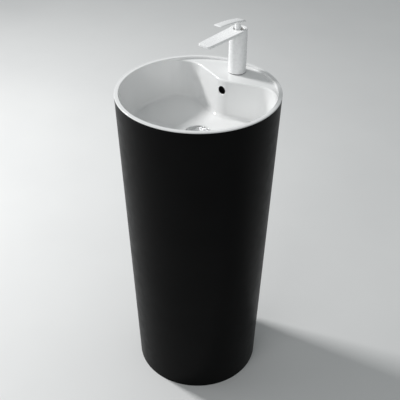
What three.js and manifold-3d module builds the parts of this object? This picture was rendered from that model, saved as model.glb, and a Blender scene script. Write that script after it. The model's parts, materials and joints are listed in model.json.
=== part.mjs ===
// A round freestanding pedestal basin with its single-lever mixer tap, push-button waste and bottle trap.
// Millimetres, +Z up, the origin at the centre of the base on the floor. The tap and the wall are at +Y.
import * as THREE from "three";
import { mergeVertices } from "three/addons/utils/BufferGeometryUtils.js";
import Module from "manifold-3d";

const wasm = await Module();
wasm.setup();

// ---------- driving dimensions ----------
const GAP = 0.3; // between pieces that touch
const HEIGHT = 850; // floor to rim
const TOP_RADIUS = 200;
const BASE_RADIUS = 169.5;
const ROUND = 64; // sides of the large circles
const SMALL_ROUND = 20; // sides of pipes, nuts and washers

const shell = {
  top: 847, // the bowl's lip rests on this edge
  wall: 5,
  foot: { inner: 158, height: 12, blend: 26 }, // the thicker foot ring
  notch: { halfWidth: 70, springing: 540, inner: 100 }, // the arched service opening in the back
  pad: { inner: 152, outer: 167, halfWidth: 22, bottom: 4, top: 58, boltZ: 36 }, // fixing pads at each side
};
const lip = { height: 2.7, round: 1.6 };
const bowl = {
  rimInner: 190,
  draft: 0.058, // how fast the round wall closes in with depth
  deckZ: 844,
  deckBottom: 832,
  floorEdgeZ: 743,
  floorFillet: 11,
  drainZ: 735,
  wall: 4.2,
  floorBottom: 724,
  sides: 64, // points around the cavity's outline
  ledge: 0.4,
};
// The outline of the deck's front edge: a rounded nose, two straight flanks and two lobes.
const edge = { noseY: 91, noseRadius: 60, flankAngle: THREE.MathUtils.degToRad(20), lobeRadius: 65, draft: 0.05 };
const edgeRound = 3;
const overflow = { z: 815, radius: 10.5, mouth: 13.2, ductHalfWidth: 17, ductDepth: 12, housing: 5, passageZ: [716, 727] };
const waste = {
  bossRadius: 37,
  bossBottom: 711,
  holeRadius: 22.5,
  recess: { radius: 33, z: 730.5 },
  flange: { radius: 31.8, thickness: 2.2 },
  tube: { outer: 20.5, inner: 17.2, bottom: 656 },
  spiderZ: 700,
};
const plug = { radius: 30.5, underside: 734.4, height: 5 };
const trap = {
  pipe: { outer: 16, inner: 14.4 },
  bodyRadius: 31,
  body: [500, 556],
  outletZ: 524,
  cup: [430, 500],
  outletEnd: 197,
};
const tap = {
  y: 151, // the tap hole's centre
  holeRadius: 17.5,
  radius: 22.5,
  base: 845.6,
  top: 958,
  bore: 17.6,
  seat: 906,
};
const spout = { tipHalfWidth: 17, rootHalfWidth: 21, tip: 18, thickness: 8, cornerRadius: 6, aeratorY: 39 };
const lever = {
  stemY: 148, // the stem stands a little in front of the tap's axis
  pivotZ: 936,
  halfWidth: 12,
  front: 68,
  back: 173,
  thickness: 5,
  neckRadius: 7.5,
  neckBottom: 950,
};
const cap = { inner: 14, outer: 17.3, bottom: 953.6 };
const stud = { y: 141, radius: 4, bottom: 800 };
const inlet = { x: 8.5, y: 157.5, radius: 5.4 };

// ---------- materials ----------
const finish = (color, roughness, metalness = 0) => new THREE.MeshStandardMaterial({ color, roughness, metalness });
const whiteGlaze = finish(0xf2f2f0, 0.15);
const blackShell = finish(0x17181a, 0.45);
const whiteEnamel = finish(0xf1f2f1, 0.3);
const chrome = finish(0xc9ccd0, 0.1, 1);
const brass = finish(0xb99a55, 0.35, 1);
const steel = finish(0x9da1a5, 0.35, 1);
const rubber = finish(0x1c1c1d, 0.85);
const plastic = finish(0xd9dadc, 0.5);

// ---------- solids ----------
/** The manifold solid of a closed geometry, turned the right way out. */
function solid(geometry) {
  const bare = geometry.clone();
  bare.deleteAttribute("normal");
  bare.deleteAttribute("uv");
  const merged = mergeVertices(bare, 1e-4);
  const mesh = (index) =>
    new wasm.Mesh({ numProp: 3, vertProperties: merged.attributes.position.array, triVerts: index });
  const index = new Uint32Array(merged.index.array);
  const made = new wasm.Manifold(mesh(index));
  return made.volume() > 0 ? made : new wasm.Manifold(mesh(index.reverse()));
}

/** The geometry of a manifold solid. */
function geometryOf(made) {
  const mesh = made.getMesh();
  return new THREE.BufferGeometry()
    .setAttribute("position", new THREE.BufferAttribute(new Float32Array(mesh.vertProperties), 3))
    .setIndex(new THREE.BufferAttribute(mesh.triVerts, 1));
}

/** One solid of several that touch or overlap. */
const join = (...parts) => parts.reduce((a, b) => a.add(b));
/** A solid with others cut out of it. */
const cut = (from, ...tools) => tools.reduce((a, b) => a.subtract(b), from);

/** A body turned about the Z axis. Profile points are [radius, z]; a ring's profile closes on itself. */
function lathe(profile, sides = SMALL_ROUND) {
  const points = profile.map(([r, z]) => new THREE.Vector2(r, z));
  const onAxis = points[0].x === 0 && points.at(-1).x === 0;
  if (!onAxis) points.push(points[0].clone());
  return solid(new THREE.LatheGeometry(points, sides).rotateX(Math.PI / 2));
}

/** A solid cylinder standing on Z. */
function rod(radius, z0, z1, sides = SMALL_ROUND) {
  return lathe([[0, z0], [radius, z0], [radius, z1], [0, z1]], sides);
}

/** A ring standing on Z. */
function ring(inner, outer, z0, z1, sides = SMALL_ROUND) {
  return lathe([[inner, z0], [outer, z0], [outer, z1], [inner, z1]], sides);
}

/** A box between two corners. */
function box(low, high) {
  const size = high.map((v, i) => v - low[i]);
  const centre = high.map((v, i) => (v + low[i]) / 2);
  return solid(new THREE.BoxGeometry(...size).translate(...centre));
}

/** A hexagonal prism standing on Z, given across its corners. */
const hex = (cornerRadius, z0, z1) => rod(cornerRadius, z0, z1, 6);

/** A flat shape in XY, raised from z0 to z1. */
function slab(shape, z0, z1, curveSegments = 8) {
  const options = { depth: z1 - z0, bevelEnabled: false, curveSegments };
  return solid(new THREE.ExtrudeGeometry(shape, options).translate(0, 0, z0));
}

/** A skin through closed rings with equal point counts, lowest first, closed by a fan at each end. */
function loft(rings) {
  const n = rings[0].length;
  const points = rings.flat();
  const triangles = [];
  rings.slice(1).forEach((_, k) => {
    for (let i = 0; i < n; i++) {
      const [a, b] = [k * n + i, k * n + ((i + 1) % n)];
      triangles.push(a, b, b + n, a, b + n, a + n);
    }
  });
  for (const [k, flip] of [[0, true], [rings.length - 1, false]]) {
    const centre = rings[k].reduce((sum, p) => sum.add(p), new THREE.Vector3()).divideScalar(n);
    points.push(centre);
    for (let i = 0; i < n; i++) {
      const [a, b] = [k * n + i, k * n + ((i + 1) % n)];
      triangles.push(points.length - 1, flip ? b : a, flip ? a : b);
    }
  }
  const geometry = new THREE.BufferGeometry().setFromPoints(points);
  geometry.setIndex(triangles);
  return solid(geometry);
}

/** A piece made on the Z axis, laid along +X at a height. */
const alongX = (made, z) => made.rotate([0, 90, 0]).translate([0, 0, z]);
/** A piece made on one side of the object, or turned round to the other side. */
const mirrorX = (made, side) => (side < 0 ? made.rotate([0, 0, 180]) : made);

// ---------- the ware ----------
const shellOuter = (z) => BASE_RADIUS + ((TOP_RADIUS - BASE_RADIUS) * z) / HEIGHT;
const bowlOuter = (z) => shellOuter(z) - shell.wall - 2 * GAP;
const wallRadius = (z) => bowl.rimInner - bowl.ledge - bowl.draft * (bowl.deckZ - z);
const noseY = (z) => edge.noseY - edge.draft * (bowl.deckZ - z);

/** The cavity's outline: a circle whose back is pushed in by the nose, its flanks and its lobes. */
function outline(radius, nose, z, grow = 0) {
  const noseRadius = edge.noseRadius - grow;
  const lobe = edge.lobeRadius + grow;
  const along = new THREE.Vector2(Math.cos(edge.flankAngle), Math.sin(edge.flankAngle));
  const inward = new THREE.Vector2(along.y, -along.x);
  const start = new THREE.Vector2(noseRadius * along.y, nose + noseRadius * (1 - along.x));
  // The lobe's centre is a lobe radius from the flank and touches the round wall from inside.
  const base = start.clone().addScaledVector(inward, lobe);
  const b = base.dot(along);
  const c = base.lengthSq() - (radius - lobe) ** 2;
  const centre = base.addScaledVector(along, -b + Math.sqrt(b * b - c));
  const [flankEnd, wallStart] = [Math.PI / 2 + edge.flankAngle, centre.angle()];
  const path = new THREE.Path();
  path.absarc(0, nose + noseRadius, noseRadius, -Math.PI / 2, -Math.PI / 2 + edge.flankAngle, false);
  path.absarc(centre.x, centre.y, lobe, flankEnd, wallStart, true);
  path.absarc(0, 0, radius, wallStart, -Math.PI - wallStart, true);
  path.absarc(-centre.x, centre.y, lobe, Math.PI - wallStart, Math.PI - flankEnd, true);
  path.absarc(0, nose + noseRadius, noseRadius, -Math.PI / 2 - edge.flankAngle, -Math.PI / 2, false);
  const points = path.getSpacedPoints(bowl.sides).slice(0, bowl.sides);
  return points.map((p) => new THREE.Vector3(p.x, p.y, z));
}

/** The same points moved radially onto a circle, at another height. */
const onCircle = (points, radius, z) =>
  points.map((p) => new THREE.Vector3(p.x, p.y, 0).setLength(radius).setZ(z));

/** The cavity from the drain's recess up through the deck recess and out past the rim. */
function bowlCavity() {
  const rings = [];
  const floorEdge = outline(wallRadius(bowl.floorEdgeZ) - bowl.floorFillet,
    noseY(bowl.floorEdgeZ) - bowl.floorFillet, bowl.floorEdgeZ, -bowl.floorFillet);
  rings.push(onCircle(floorEdge, waste.recess.radius, waste.recess.z));
  rings.push(onCircle(floorEdge, waste.recess.radius + 0.5, bowl.drainZ));
  for (const turn of [0, 45, 90]) {
    const angle = THREE.MathUtils.degToRad(turn);
    const z = bowl.floorEdgeZ + bowl.floorFillet * (1 - Math.cos(angle));
    const inset = bowl.floorFillet * (1 - Math.sin(angle));
    rings.push(outline(wallRadius(z) - inset, noseY(z) - inset, z, -inset));
  }
  for (const turn of [0, 45, 90]) {
    const angle = THREE.MathUtils.degToRad(turn);
    const z = bowl.deckZ - edgeRound * (1 - Math.sin(angle));
    rings.push(outline(wallRadius(z), noseY(z) + edgeRound * (1 - Math.cos(angle)), z));
  }
  const deck = rings.at(-1);
  rings.push(onCircle(deck, bowl.rimInner, bowl.deckZ));
  rings.push(onCircle(deck, bowl.rimInner, HEIGHT - 1));
  rings.push(onCircle(deck, bowl.rimInner + 1, HEIGHT));
  rings.push(onCircle(deck, bowl.rimInner + 1, HEIGHT + 5));
  return loft(rings);
}

/** The overflow's duct: down the back of the nose and forward under the floor into the waste hole. */
function overflowDuct(grow, top) {
  const half = overflow.ductHalfWidth + grow;
  const front = noseY(overflow.passageZ[0]) + bowl.wall + 3.5 - grow;
  const back = front + overflow.ductDepth + 2 * grow;
  const [z0, z1] = overflow.passageZ;
  return join(
    box([-half, front, z0 - grow], [half, back, top]),
    box([-half, waste.holeRadius - 4, z0 - grow], [half, back, z1 + grow]),
  );
}

function basinBowl() {
  const { floorBottom, deckBottom, wall, floorEdgeZ } = bowl;
  const shape = (z, grow) => outline(wallRadius(z) + grow, noseY(z) + grow, z, grow);
  const basin = loft([
    shape(floorBottom, -bowl.floorFillet),
    shape(floorEdgeZ, wall),
    shape(deckBottom + 4, wall),
  ]);
  const lipFoot = HEIGHT - lip.height;
  const deck = lathe([[0, deckBottom], [bowlOuter(deckBottom), deckBottom],
    [bowlOuter(lipFoot), lipFoot + 0.1], [0, lipFoot + 0.1]], ROUND);
  const rim = lathe([[0, lipFoot], [TOP_RADIUS, lipFoot], [TOP_RADIUS, HEIGHT - lip.round],
    [TOP_RADIUS - 0.5 * lip.round, HEIGHT - 0.3 * lip.round], [TOP_RADIUS - lip.round, HEIGHT], [0, HEIGHT]], ROUND);
  const boss = rod(waste.bossRadius, waste.bossBottom, bowl.drainZ - 2, 32);
  const housing = overflowDuct(overflow.housing, deckBottom + 2);
  const mouthY = noseY(overflow.z);
  const overflowHole = join(
    solid(new THREE.CylinderGeometry(overflow.radius, overflow.radius, 24, 20).translate(0, mouthY, overflow.z)),
    solid(new THREE.CylinderGeometry(overflow.radius, overflow.mouth, 4, 20).translate(0, mouthY + 1.2, overflow.z)),
  );
  return cut(join(basin, deck, rim, boss, housing), bowlCavity(), overflowDuct(0, overflow.z + overflow.radius),
    overflowHole, rod(waste.holeRadius, waste.bossBottom - 5, bowl.drainZ + 5),
    rod(tap.holeRadius, deckBottom - 5, bowl.deckZ + 5).translate([0, tap.y, 0]));
}

function pedestalShell() {
  const { top, wall, foot, notch, pad } = shell;
  const skin = lathe([[shellOuter(0) - 1.5, 0], [shellOuter(1.5), 1.5], [shellOuter(top - 1), top - 1],
    [shellOuter(top) - 1, top], [shellOuter(top) - wall, top], [shellOuter(foot.blend) - wall, foot.blend],
    [foot.inner, foot.height], [foot.inner, 0]], ROUND);
  const pads = [-1, 1].map((side) => box(
    [Math.min(side * pad.inner, side * pad.outer), -pad.halfWidth, pad.bottom],
    [Math.max(side * pad.inner, side * pad.outer), pad.halfWidth, pad.top],
  ));
  const boltHoles = [-1, 1].map((side) => mirrorX(alongX(rod(3.3, pad.inner - 5, pad.outer - 4, 12), pad.boltZ), side));
  const arch = join(
    box([-notch.halfWidth, notch.inner, -5], [notch.halfWidth, TOP_RADIUS + 10, notch.springing]),
    solid(new THREE.CylinderGeometry(notch.halfWidth, notch.halfWidth, TOP_RADIUS + 10 - notch.inner, 32)
      .translate(0, (TOP_RADIUS + 10 + notch.inner) / 2, notch.springing)),
  );
  return cut(join(skin, ...pads), arch, ...boltHoles);
}

// ---------- floor fixing ----------
/** A steel angle that is bolted to the shell's pad and has a hole for a floor screw. */
function floorBracket(side) {
  const { inner } = shell.pad;
  const face = inner - GAP;
  const upright = box([face - 3, -18, 0], [face, 18, 54]);
  const leg = box([face - 38, -18, 0], [face, 18, 3]);
  const floorHole = rod(4.5, -5, 10, 16).translate([face - 21, 0, 0]);
  const boltHole = alongX(rod(3.5, face - 10, face + 10, 12), shell.pad.boltZ);
  return mirrorX(cut(join(upright, leg), floorHole, boltHole), side);
}

function bracketBolt(side) {
  const head = shell.pad.inner - 2 * GAP - 3;
  const bolt = join(hex(5.8, head - 4, head), rod(2.8, head - 0.5, head + 13, 12));
  return mirrorX(alongX(bolt, shell.pad.boltZ), side);
}

// ---------- the tap ----------
/** The spout's plan: it widens to the column and has rounded front corners. */
function spoutPlan() {
  const { tipHalfWidth: w, rootHalfWidth: root, tip, cornerRadius: r } = spout;
  const shape = new THREE.Shape();
  shape.moveTo(-root, tap.y);
  shape.lineTo(-w, tip + r);
  shape.absarc(-w + r, tip + r, r, Math.PI, 1.5 * Math.PI, false);
  shape.absarc(w - r, tip + r, r, 1.5 * Math.PI, 2 * Math.PI, false);
  shape.lineTo(root, tap.y);
  return shape;
}

function tapBody() {
  const underside = tap.top - spout.thickness;
  const column = lathe([[0, tap.base], [tap.radius - 0.6, tap.base], [tap.radius, tap.base + 0.6],
    [tap.radius, tap.top - 0.6], [tap.radius - 0.6, tap.top], [0, tap.top]], 32).translate([0, tap.y, 0]);
  const blade = slab(spoutPlan(), underside, tap.top);
  const cartridgeBore = rod(tap.bore, tap.seat, tap.top + 5, 32).translate([0, tap.y, 0]);
  const riser = box([-5, tap.y - tap.bore - 2.6, tap.seat + 14], [5, tap.y - tap.bore + 3, tap.top - 2.5]);
  const waterway = box([-8, spout.aeratorY - 6, underside + 2], [8, tap.y - tap.bore, tap.top - 2.5]);
  const aeratorHole = rod(8.6, underside - 5, underside + 5).translate([0, spout.aeratorY, 0]);
  const studHole = rod(stud.radius + GAP, tap.base - 5, tap.base + 18, 16).translate([0, stud.y, 0]);
  const inletBores = [-1, 1].map((side) => join(
    rod(inlet.radius + GAP, tap.base - 5, tap.base + 14, 16),
    rod(3, tap.base, tap.seat + 5, 12),
  ).translate([side * inlet.x, inlet.y, 0]));
  return cut(join(column, blade), cartridgeBore, riser, waterway, aeratorHole, studHole, ...inletBores);
}

const atTap = (made) => made.translate([0, tap.y, 0]);

/** The fixed ceramic-disc cartridge: a slim housing with a wide top flange and three ports below. */
function cartridgeHousing() {
  const housing = lathe([[0, tap.seat + GAP], [14, tap.seat + GAP], [14, 935], [17.2, 935.5], [17.2, 940],
    [13, 940], [13, 925], [0, 925]], 24);
  const port = (x, y) => rod(2.6, tap.seat - 2, 914, 10).translate([x, y, 0]);
  return atTap(cut(housing, port(-inlet.x, inlet.y - tap.y), port(inlet.x, inlet.y - tap.y), port(0, -8)));
}

/** The part of the cartridge that swings with the lever, slotted so that the stem can tilt in it. */
function cartridgeRotor() {
  const stemOffset = lever.stemY - tap.y;
  const slot = box([-4.4, stemOffset - 6.5, 924], [4.4, stemOffset + 9, 950]);
  const pinHole = rod(1.7, -15, 15, 12).rotate([0, 90, 0]).translate([0, stemOffset, lever.pivotZ]);
  return atTap(cut(rod(12.6, 925.4, 944, 24), slot, pinHole));
}

const rotorPin = () => rod(1.5, -11.5, 11.5, 12).rotate([0, 90, 0]).translate([0, lever.stemY, lever.pivotZ]);

function cartridgeStem() {
  const stem = box([-4, lever.stemY - 4, 929.5], [4, lever.stemY + 4, 962]);
  return cut(stem, rod(1.8, -10, 10, 12).rotate([0, 90, 0]).translate([0, lever.stemY, lever.pivotZ]));
}

/** The height of the lever's upper face at a distance along it: a long arc that rolls down at the back. */
function leverTop(y) {
  const arc = 990.2 - ((y - 53) ** 2) / 1000;
  return y < 155 ? arc : arc - ((y - 155) ** 2) / 75;
}

/** The lever's half width: parallel, then drawn in to a rounded back end. */
function leverHalfWidth(y) {
  const start = lever.back - lever.halfWidth * 1.4;
  const t = Math.max(0, (y - start) / (lever.back - start));
  return lever.halfWidth * Math.sqrt(Math.max(0.02, 1 - t * t)) * (0.93 + (0.07 * (y - lever.front)) / 100);
}

function leverHandle() {
  const sections = [];
  const steps = 16;
  for (let k = 0; k <= steps; k++) {
    const share = Math.sin((k / steps) * Math.PI / 2); // closer together at the rounded back
    const y = lever.front + (lever.back - lever.front) * share;
    const [w, z] = [leverHalfWidth(y), leverTop(y)];
    const thick = lever.thickness * (0.45 + 0.55 * share);
    const crown = 0.5;
    sections.push([[-w, -thick * 0.7], [w, -thick * 0.7], [w, -thick * 0.3], [w * 0.55, crown - 0.5], [0, crown],
      [-w * 0.55, crown - 0.5], [-w, -thick * 0.3]].map(([x, dz]) => new THREE.Vector3(x, y, z + dz)));
  }
  const blade = loft(sections);
  const neckTop = leverTop(lever.stemY) - 1.5;
  const neck = lathe([[0, lever.neckBottom], [lever.neckRadius, lever.neckBottom], [lever.neckRadius, neckTop - 6],
    [lever.neckRadius + 1, neckTop - 1.5], [0, neckTop]]).translate([0, lever.stemY, 0]);
  const socket = box([-4.3, lever.stemY - 4.3, lever.neckBottom - 1], [4.3, lever.stemY + 4.3, 962.5]);
  const grubHole = rod(1.9, 0, 12, 10).rotate([-90, 0, 0]).translate([0, lever.stemY, 956.5]);
  return cut(join(blade, neck), socket, grubHole);
}

const leverGrubScrew = () => cut(
  rod(1.6, 4.4, 6.8, 10), rod(0.8, 5.6, 8, 6),
).rotate([-90, 0, 0]).translate([0, lever.stemY, 956.5]);

/** A horseshoe washer: a disc open at the back, so that it slips past the inlet tails. */
function horseshoe(z0, z1) {
  const opening = box([-16, tap.y - 1, z0 - 1], [16, tap.y + 40, z1 + 1]);
  return cut(atTap(rod(24, z0, z1, 28)), opening, rod(stud.radius + 0.4, z0 - 1, z1 + 1, 12).translate([0, stud.y, 0]));
}

/** A brass inlet tail: a short thread in the tap's base, a hexagon and a hose thread below it. */
function inletTail(side) {
  const tail = join(rod(inlet.radius, 822, tap.base + 12, 16), hex(7.6, 812, 822.5), rod(4.8, 798, 812.5, 16));
  return cut(tail, rod(2.8, 790, 870, 12)).translate([side * inlet.x, inlet.y, 0]);
}

// ---------- the waste ----------
function wasteBody() {
  const { flange, tube, recess, spiderZ } = waste;
  const z = recess.z + 1.4;
  const body = lathe([[tube.inner, tube.bottom], [tube.outer, tube.bottom], [tube.outer, z - 1.5],
    [tube.outer + 2, z], [flange.radius - 1, z], [flange.radius, z + 1], [flange.radius - 0.6, z + flange.thickness],
    [27, z + flange.thickness], [20.5, z + 0.7], [tube.inner, z - 3]], 24);
  const slots = join(
    box([-8, -30, overflow.passageZ[0] + 1], [8, 30, overflow.passageZ[1] - 2]),
    box([-30, -8, overflow.passageZ[0] + 1], [30, 8, overflow.passageZ[1] - 2]),
  );
  const spider = join(
    box([-tube.inner - 1, -1.5, spiderZ - 4], [tube.inner + 1, 1.5, spiderZ]),
    box([-1.5, -tube.inner - 1, spiderZ - 4], [1.5, tube.inner + 1, spiderZ]),
    rod(9.5, spiderZ - 4, spiderZ, 20),
  );
  return cut(join(cut(body, slots), spider), rod(6.3, spiderZ - 10, spiderZ + 5, 16));
}

/** The latch that holds the plug up or down at alternate pushes. */
const clickLatch = () => lathe([[3.3, 678], [6, 678], [6, 700.3], [8.4, 700.3], [8.4, 702.5], [3.3, 702.5]], 16);

/** The domed cap, seated on the flange, with a short boss below for the spindle. */
function plugCap() {
  const { radius: r, underside, height } = plug;
  const dome = [[r, 0.16], [0.99 * r, 0.36], [0.86 * r, 0.66], [0.64 * r, 0.85], [0.34 * r, 0.96], [0, 1]];
  return lathe([[0, underside - 3], [5, underside - 3], [5, underside], [r - 0.8, underside],
    ...dome.map(([x, share]) => [x, underside + share * height])], 28);
}

const plugSeal = () => ring(17.5, 20.3, plug.underside - 1.5, plug.underside - GAP);
const plugSpindle = () => rod(2.9, 684, plug.underside - 3 - GAP, 12);

/** The return spring between the latch and the plug. */
function plugSpring() {
  const [bottom, top, turns, radius, steps] = [703.5, 730.3, 5, 6.2, 9];
  const points = Array.from({ length: turns * steps + 1 }, (_, k) => {
    const angle = (k / steps) * 2 * Math.PI;
    const z = bottom + ((top - bottom) * k) / (turns * steps);
    return new THREE.Vector3(radius * Math.cos(angle), radius * Math.sin(angle), z);
  });
  const wire = new THREE.Shape().absarc(0, 0, 0.6, 0, 2 * Math.PI, false);
  return solid(new THREE.ExtrudeGeometry(wire, {
    steps: turns * steps, curveSegments: 3, bevelEnabled: false, extrudePath: new THREE.CatmullRomCurve3(points),
  }));
}

/** A round nut with grip lugs. */
function luggedNut(inner, outer, z0, z1) {
  const lugs = [0, 45, 90, 135].map((turn) => box([-outer - 2.5, -3, z0], [outer + 2.5, 3, z1 - 2]).rotate([0, 0, turn]));
  return cut(join(rod(outer, z0, z1), ...lugs), rod(inner, z0 - 1, z1 + 1));
}

// ---------- the trap ----------
function trapInletPipe() {
  const { outer, inner } = trap.pipe;
  return lathe([[inner, 470], [outer, 470], [outer, 648], [19.2, 648], [19.2, 651], [inner, 651]]);
}

function trapInletNut() {
  return cut(join(rod(26, 640, 674, 24), hex(28.5, 640, 656)),
    rod(21.3, 647.4, 680), rod(trap.pipe.outer + GAP, 630, 650));
}

/** The trap's upper half: a drum with a neck on top, a side outlet at +Y and a skirt for the cup below. */
function trapBody() {
  const [bottom, top] = trap.body;
  const r = trap.bodyRadius;
  const drum = lathe([[0, bottom], [r, bottom], [r, top - 6], [r - 7, top], [0, top]]);
  const neck = rod(22, top - 2, top + 12);
  const outlet = solid(new THREE.CylinderGeometry(20, 20, 32.5, 20).translate(0, r + 8.25, trap.outletZ));
  const outletBore = solid(new THREE.CylinderGeometry(14, 14, 60, 20).translate(0, r + 9, trap.outletZ));
  return cut(join(drum, neck, outlet), rod(27, bottom - 1, top - 8), rod(trap.pipe.outer + GAP, top - 20, top + 20), outletBore);
}

const trapBodyNut = () => cut(join(rod(27, 556.5, 577), luggedNut(20, 27, 556.5, 577)),
  rod(22 + GAP, 550, 568.5), rod(trap.pipe.outer + GAP, 550, 580));

/** The cup that unscrews for cleaning: its neck goes up inside the drum. */
function trapCup() {
  const [bottom, top] = trap.cup;
  const r = trap.bodyRadius;
  return lathe([[0, bottom], [r - 12, bottom], [r - 3, bottom + 5], [r, bottom + 14], [r, top - 3.2], [26.6, top - 3.2],
    [26.6, top + 14], [24, top + 14], [24, bottom + 16], [r - 14, bottom + 4], [0, bottom + 4]]);
}

const trapCupSeal = () => ring(27, trap.bodyRadius - 0.6, trap.cup[1] - 2.9, trap.cup[1] - GAP);

/** A piece turned about Z, laid down to run along +Y at the outlet's height. */
const alongOutlet = (made) => made.rotate([-90, 0, 0]).translate([0, 0, trap.outletZ]);

const trapOutletNut = () => alongOutlet(cut(luggedNut(trap.pipe.outer + GAP, 25.5, 44, 68), rod(20 + GAP, 40, 61)));
const trapOutletSeal = () => alongOutlet(ring(15, 19.2, 55.8, 57.7));
const trapOutletPipe = () => alongOutlet(lathe([[trap.pipe.inner, 58], [19.4, 58], [19.4, 60.5], [trap.pipe.outer, 60.5],
  [trap.pipe.outer, trap.outletEnd], [trap.pipe.inner, trap.outletEnd]]));

// ---------- assembly ----------
const basin = new THREE.Group();

/** Adds one named piece to a group. */
function add(group, name, made, material) {
  const mesh = new THREE.Mesh(geometryOf(made), material);
  mesh.name = name;
  group.add(mesh);
}

const ware = new THREE.Group();
add(ware, "basin_bowl", basinBowl(), whiteGlaze);
add(ware, "pedestal_shell", pedestalShell(), blackShell);
for (const [name, side] of [["left", -1], ["right", 1]]) {
  add(ware, `floor_bracket_${name}`, floorBracket(side), steel);
  add(ware, `bracket_bolt_${name}`, bracketBolt(side), steel);
}

const mixer = new THREE.Group();
const underside = tap.top - spout.thickness;
add(mixer, "tap_body", tapBody(), whiteEnamel);
add(mixer, "cartridge_cap", atTap(ring(cap.inner, cap.outer, cap.bottom, tap.top, 32)), whiteEnamel);
add(mixer, "cartridge_nut", atTap(ring(13.6, 17.2, 940.4, 947, 24)), plastic);
add(mixer, "cartridge_housing", cartridgeHousing(), plastic);
add(mixer, "cartridge_rotor", cartridgeRotor(), plastic);
add(mixer, "rotor_pin", rotorPin(), steel);
add(mixer, "cartridge_stem", cartridgeStem(), brass);
add(mixer, "lever_handle", leverHandle(), whiteEnamel);
add(mixer, "lever_grub_screw", leverGrubScrew(), steel);
add(mixer, "aerator_housing", ring(7, 8.3, underside - 5, underside + 4).translate([0, spout.aeratorY, 0])
  .add(ring(7, 10, underside - 5, underside - GAP).translate([0, spout.aeratorY, 0])), whiteEnamel);
add(mixer, "aerator_insert", rod(6.7, underside - 4, underside + 3, 20).translate([0, spout.aeratorY, 0]), plastic);
add(mixer, "tap_base_seal", atTap(ring(18.2, 21.6, bowl.deckZ + GAP, tap.base - GAP, 28)), rubber);
add(mixer, "tap_stud", rod(stud.radius, stud.bottom, tap.base + 16, 16).translate([0, stud.y, 0]), steel);
add(mixer, "clamp_rubber", horseshoe(828.6, bowl.deckBottom - GAP), rubber);
add(mixer, "clamp_plate", horseshoe(826, 828.3), steel);
add(mixer, "clamp_nut", cut(hex(7.5, 819, 825.7), rod(stud.radius + GAP, 815, 830, 16)).translate([0, stud.y, 0]), brass);
add(mixer, "inlet_tail_hot", inletTail(-1), brass);
add(mixer, "inlet_tail_cold", inletTail(1), brass);

const drain = new THREE.Group();
add(drain, "waste_body", wasteBody(), chrome);
add(drain, "waste_flange_seal", ring(24, 31, waste.recess.z + GAP, waste.recess.z + 1.1, 24), rubber);
add(drain, "waste_back_seal", ring(21, 33, 705.3, waste.bossBottom - GAP, 24), rubber);
add(drain, "waste_back_nut", luggedNut(21.2, 29, 692, 705), brass);
add(drain, "click_latch", clickLatch(), plastic);
add(drain, "plug_cap", plugCap(), chrome);
add(drain, "plug_seal", plugSeal(), rubber);
add(drain, "plug_spindle", plugSpindle(), brass);
add(drain, "plug_spring", plugSpring(), steel);

const bottleTrap = new THREE.Group();
add(bottleTrap, "trap_inlet_nut", trapInletNut(), chrome);
add(bottleTrap, "trap_inlet_seal", ring(16.5, 20, 651 + GAP, waste.tube.bottom - GAP), rubber);
add(bottleTrap, "trap_inlet_pipe", trapInletPipe(), chrome);
add(bottleTrap, "trap_body_nut", trapBodyNut(), chrome);
add(bottleTrap, "trap_body", trapBody(), chrome);
add(bottleTrap, "trap_cup", trapCup(), chrome);
add(bottleTrap, "trap_cup_seal", trapCupSeal(), rubber);
add(bottleTrap, "trap_outlet_nut", trapOutletNut(), chrome);
add(bottleTrap, "trap_outlet_seal", trapOutletSeal(), rubber);
add(bottleTrap, "trap_outlet_pipe", trapOutletPipe(), chrome);

basin.add(ware, mixer, drain, bottleTrap);
export default basin;
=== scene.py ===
"""A round freestanding pedestal sink with its mixer, waste, trap and fixings, dressed for rendering.

The classes hold their sizes in millimetres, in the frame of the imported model: +Z up, the origin at the
centre of the column's base, the tap at +Y. A piece becomes metres when the workshop sets it in place.
"""

from __future__ import annotations

import json
import logging
import math
from dataclasses import dataclass, field
from enum import Enum
from typing import Any, Callable, Sequence

import bmesh
import bpy
from mathutils import Matrix, Vector

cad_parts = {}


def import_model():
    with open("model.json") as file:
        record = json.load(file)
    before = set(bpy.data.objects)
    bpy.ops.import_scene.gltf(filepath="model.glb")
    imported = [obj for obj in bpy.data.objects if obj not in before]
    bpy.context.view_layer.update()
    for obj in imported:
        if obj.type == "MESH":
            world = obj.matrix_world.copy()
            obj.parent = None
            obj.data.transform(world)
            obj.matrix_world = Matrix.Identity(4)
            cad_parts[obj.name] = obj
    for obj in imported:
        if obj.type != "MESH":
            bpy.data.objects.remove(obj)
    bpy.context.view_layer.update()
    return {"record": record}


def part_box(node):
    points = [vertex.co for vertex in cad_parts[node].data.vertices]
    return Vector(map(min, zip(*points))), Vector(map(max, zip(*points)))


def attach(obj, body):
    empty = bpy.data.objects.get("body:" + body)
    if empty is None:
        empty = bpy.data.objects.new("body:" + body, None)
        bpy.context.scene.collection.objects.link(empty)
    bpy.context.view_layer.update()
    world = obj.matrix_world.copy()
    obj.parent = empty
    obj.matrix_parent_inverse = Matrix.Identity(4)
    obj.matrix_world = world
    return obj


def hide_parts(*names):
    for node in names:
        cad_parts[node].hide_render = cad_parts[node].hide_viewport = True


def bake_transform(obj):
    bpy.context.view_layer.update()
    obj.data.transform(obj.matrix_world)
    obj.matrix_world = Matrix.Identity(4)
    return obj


LOG = logging.getLogger("pedestal_sink")
METRES = 0.001
FINE = 96  # sides of a small turned piece
RGB = tuple[float, float, float]
Corner = tuple[float, float, float]  # radius or x, height, rounding


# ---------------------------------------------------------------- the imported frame
class Axis(Enum):
    """An axis of the frame."""

    X = 0
    Y = 1
    Z = 2


def lowest(node: str, axis: Axis) -> float:
    """A CAD node's lowest coordinate, in millimetres."""
    return float(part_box(node)[0][axis.value]) / METRES


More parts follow.
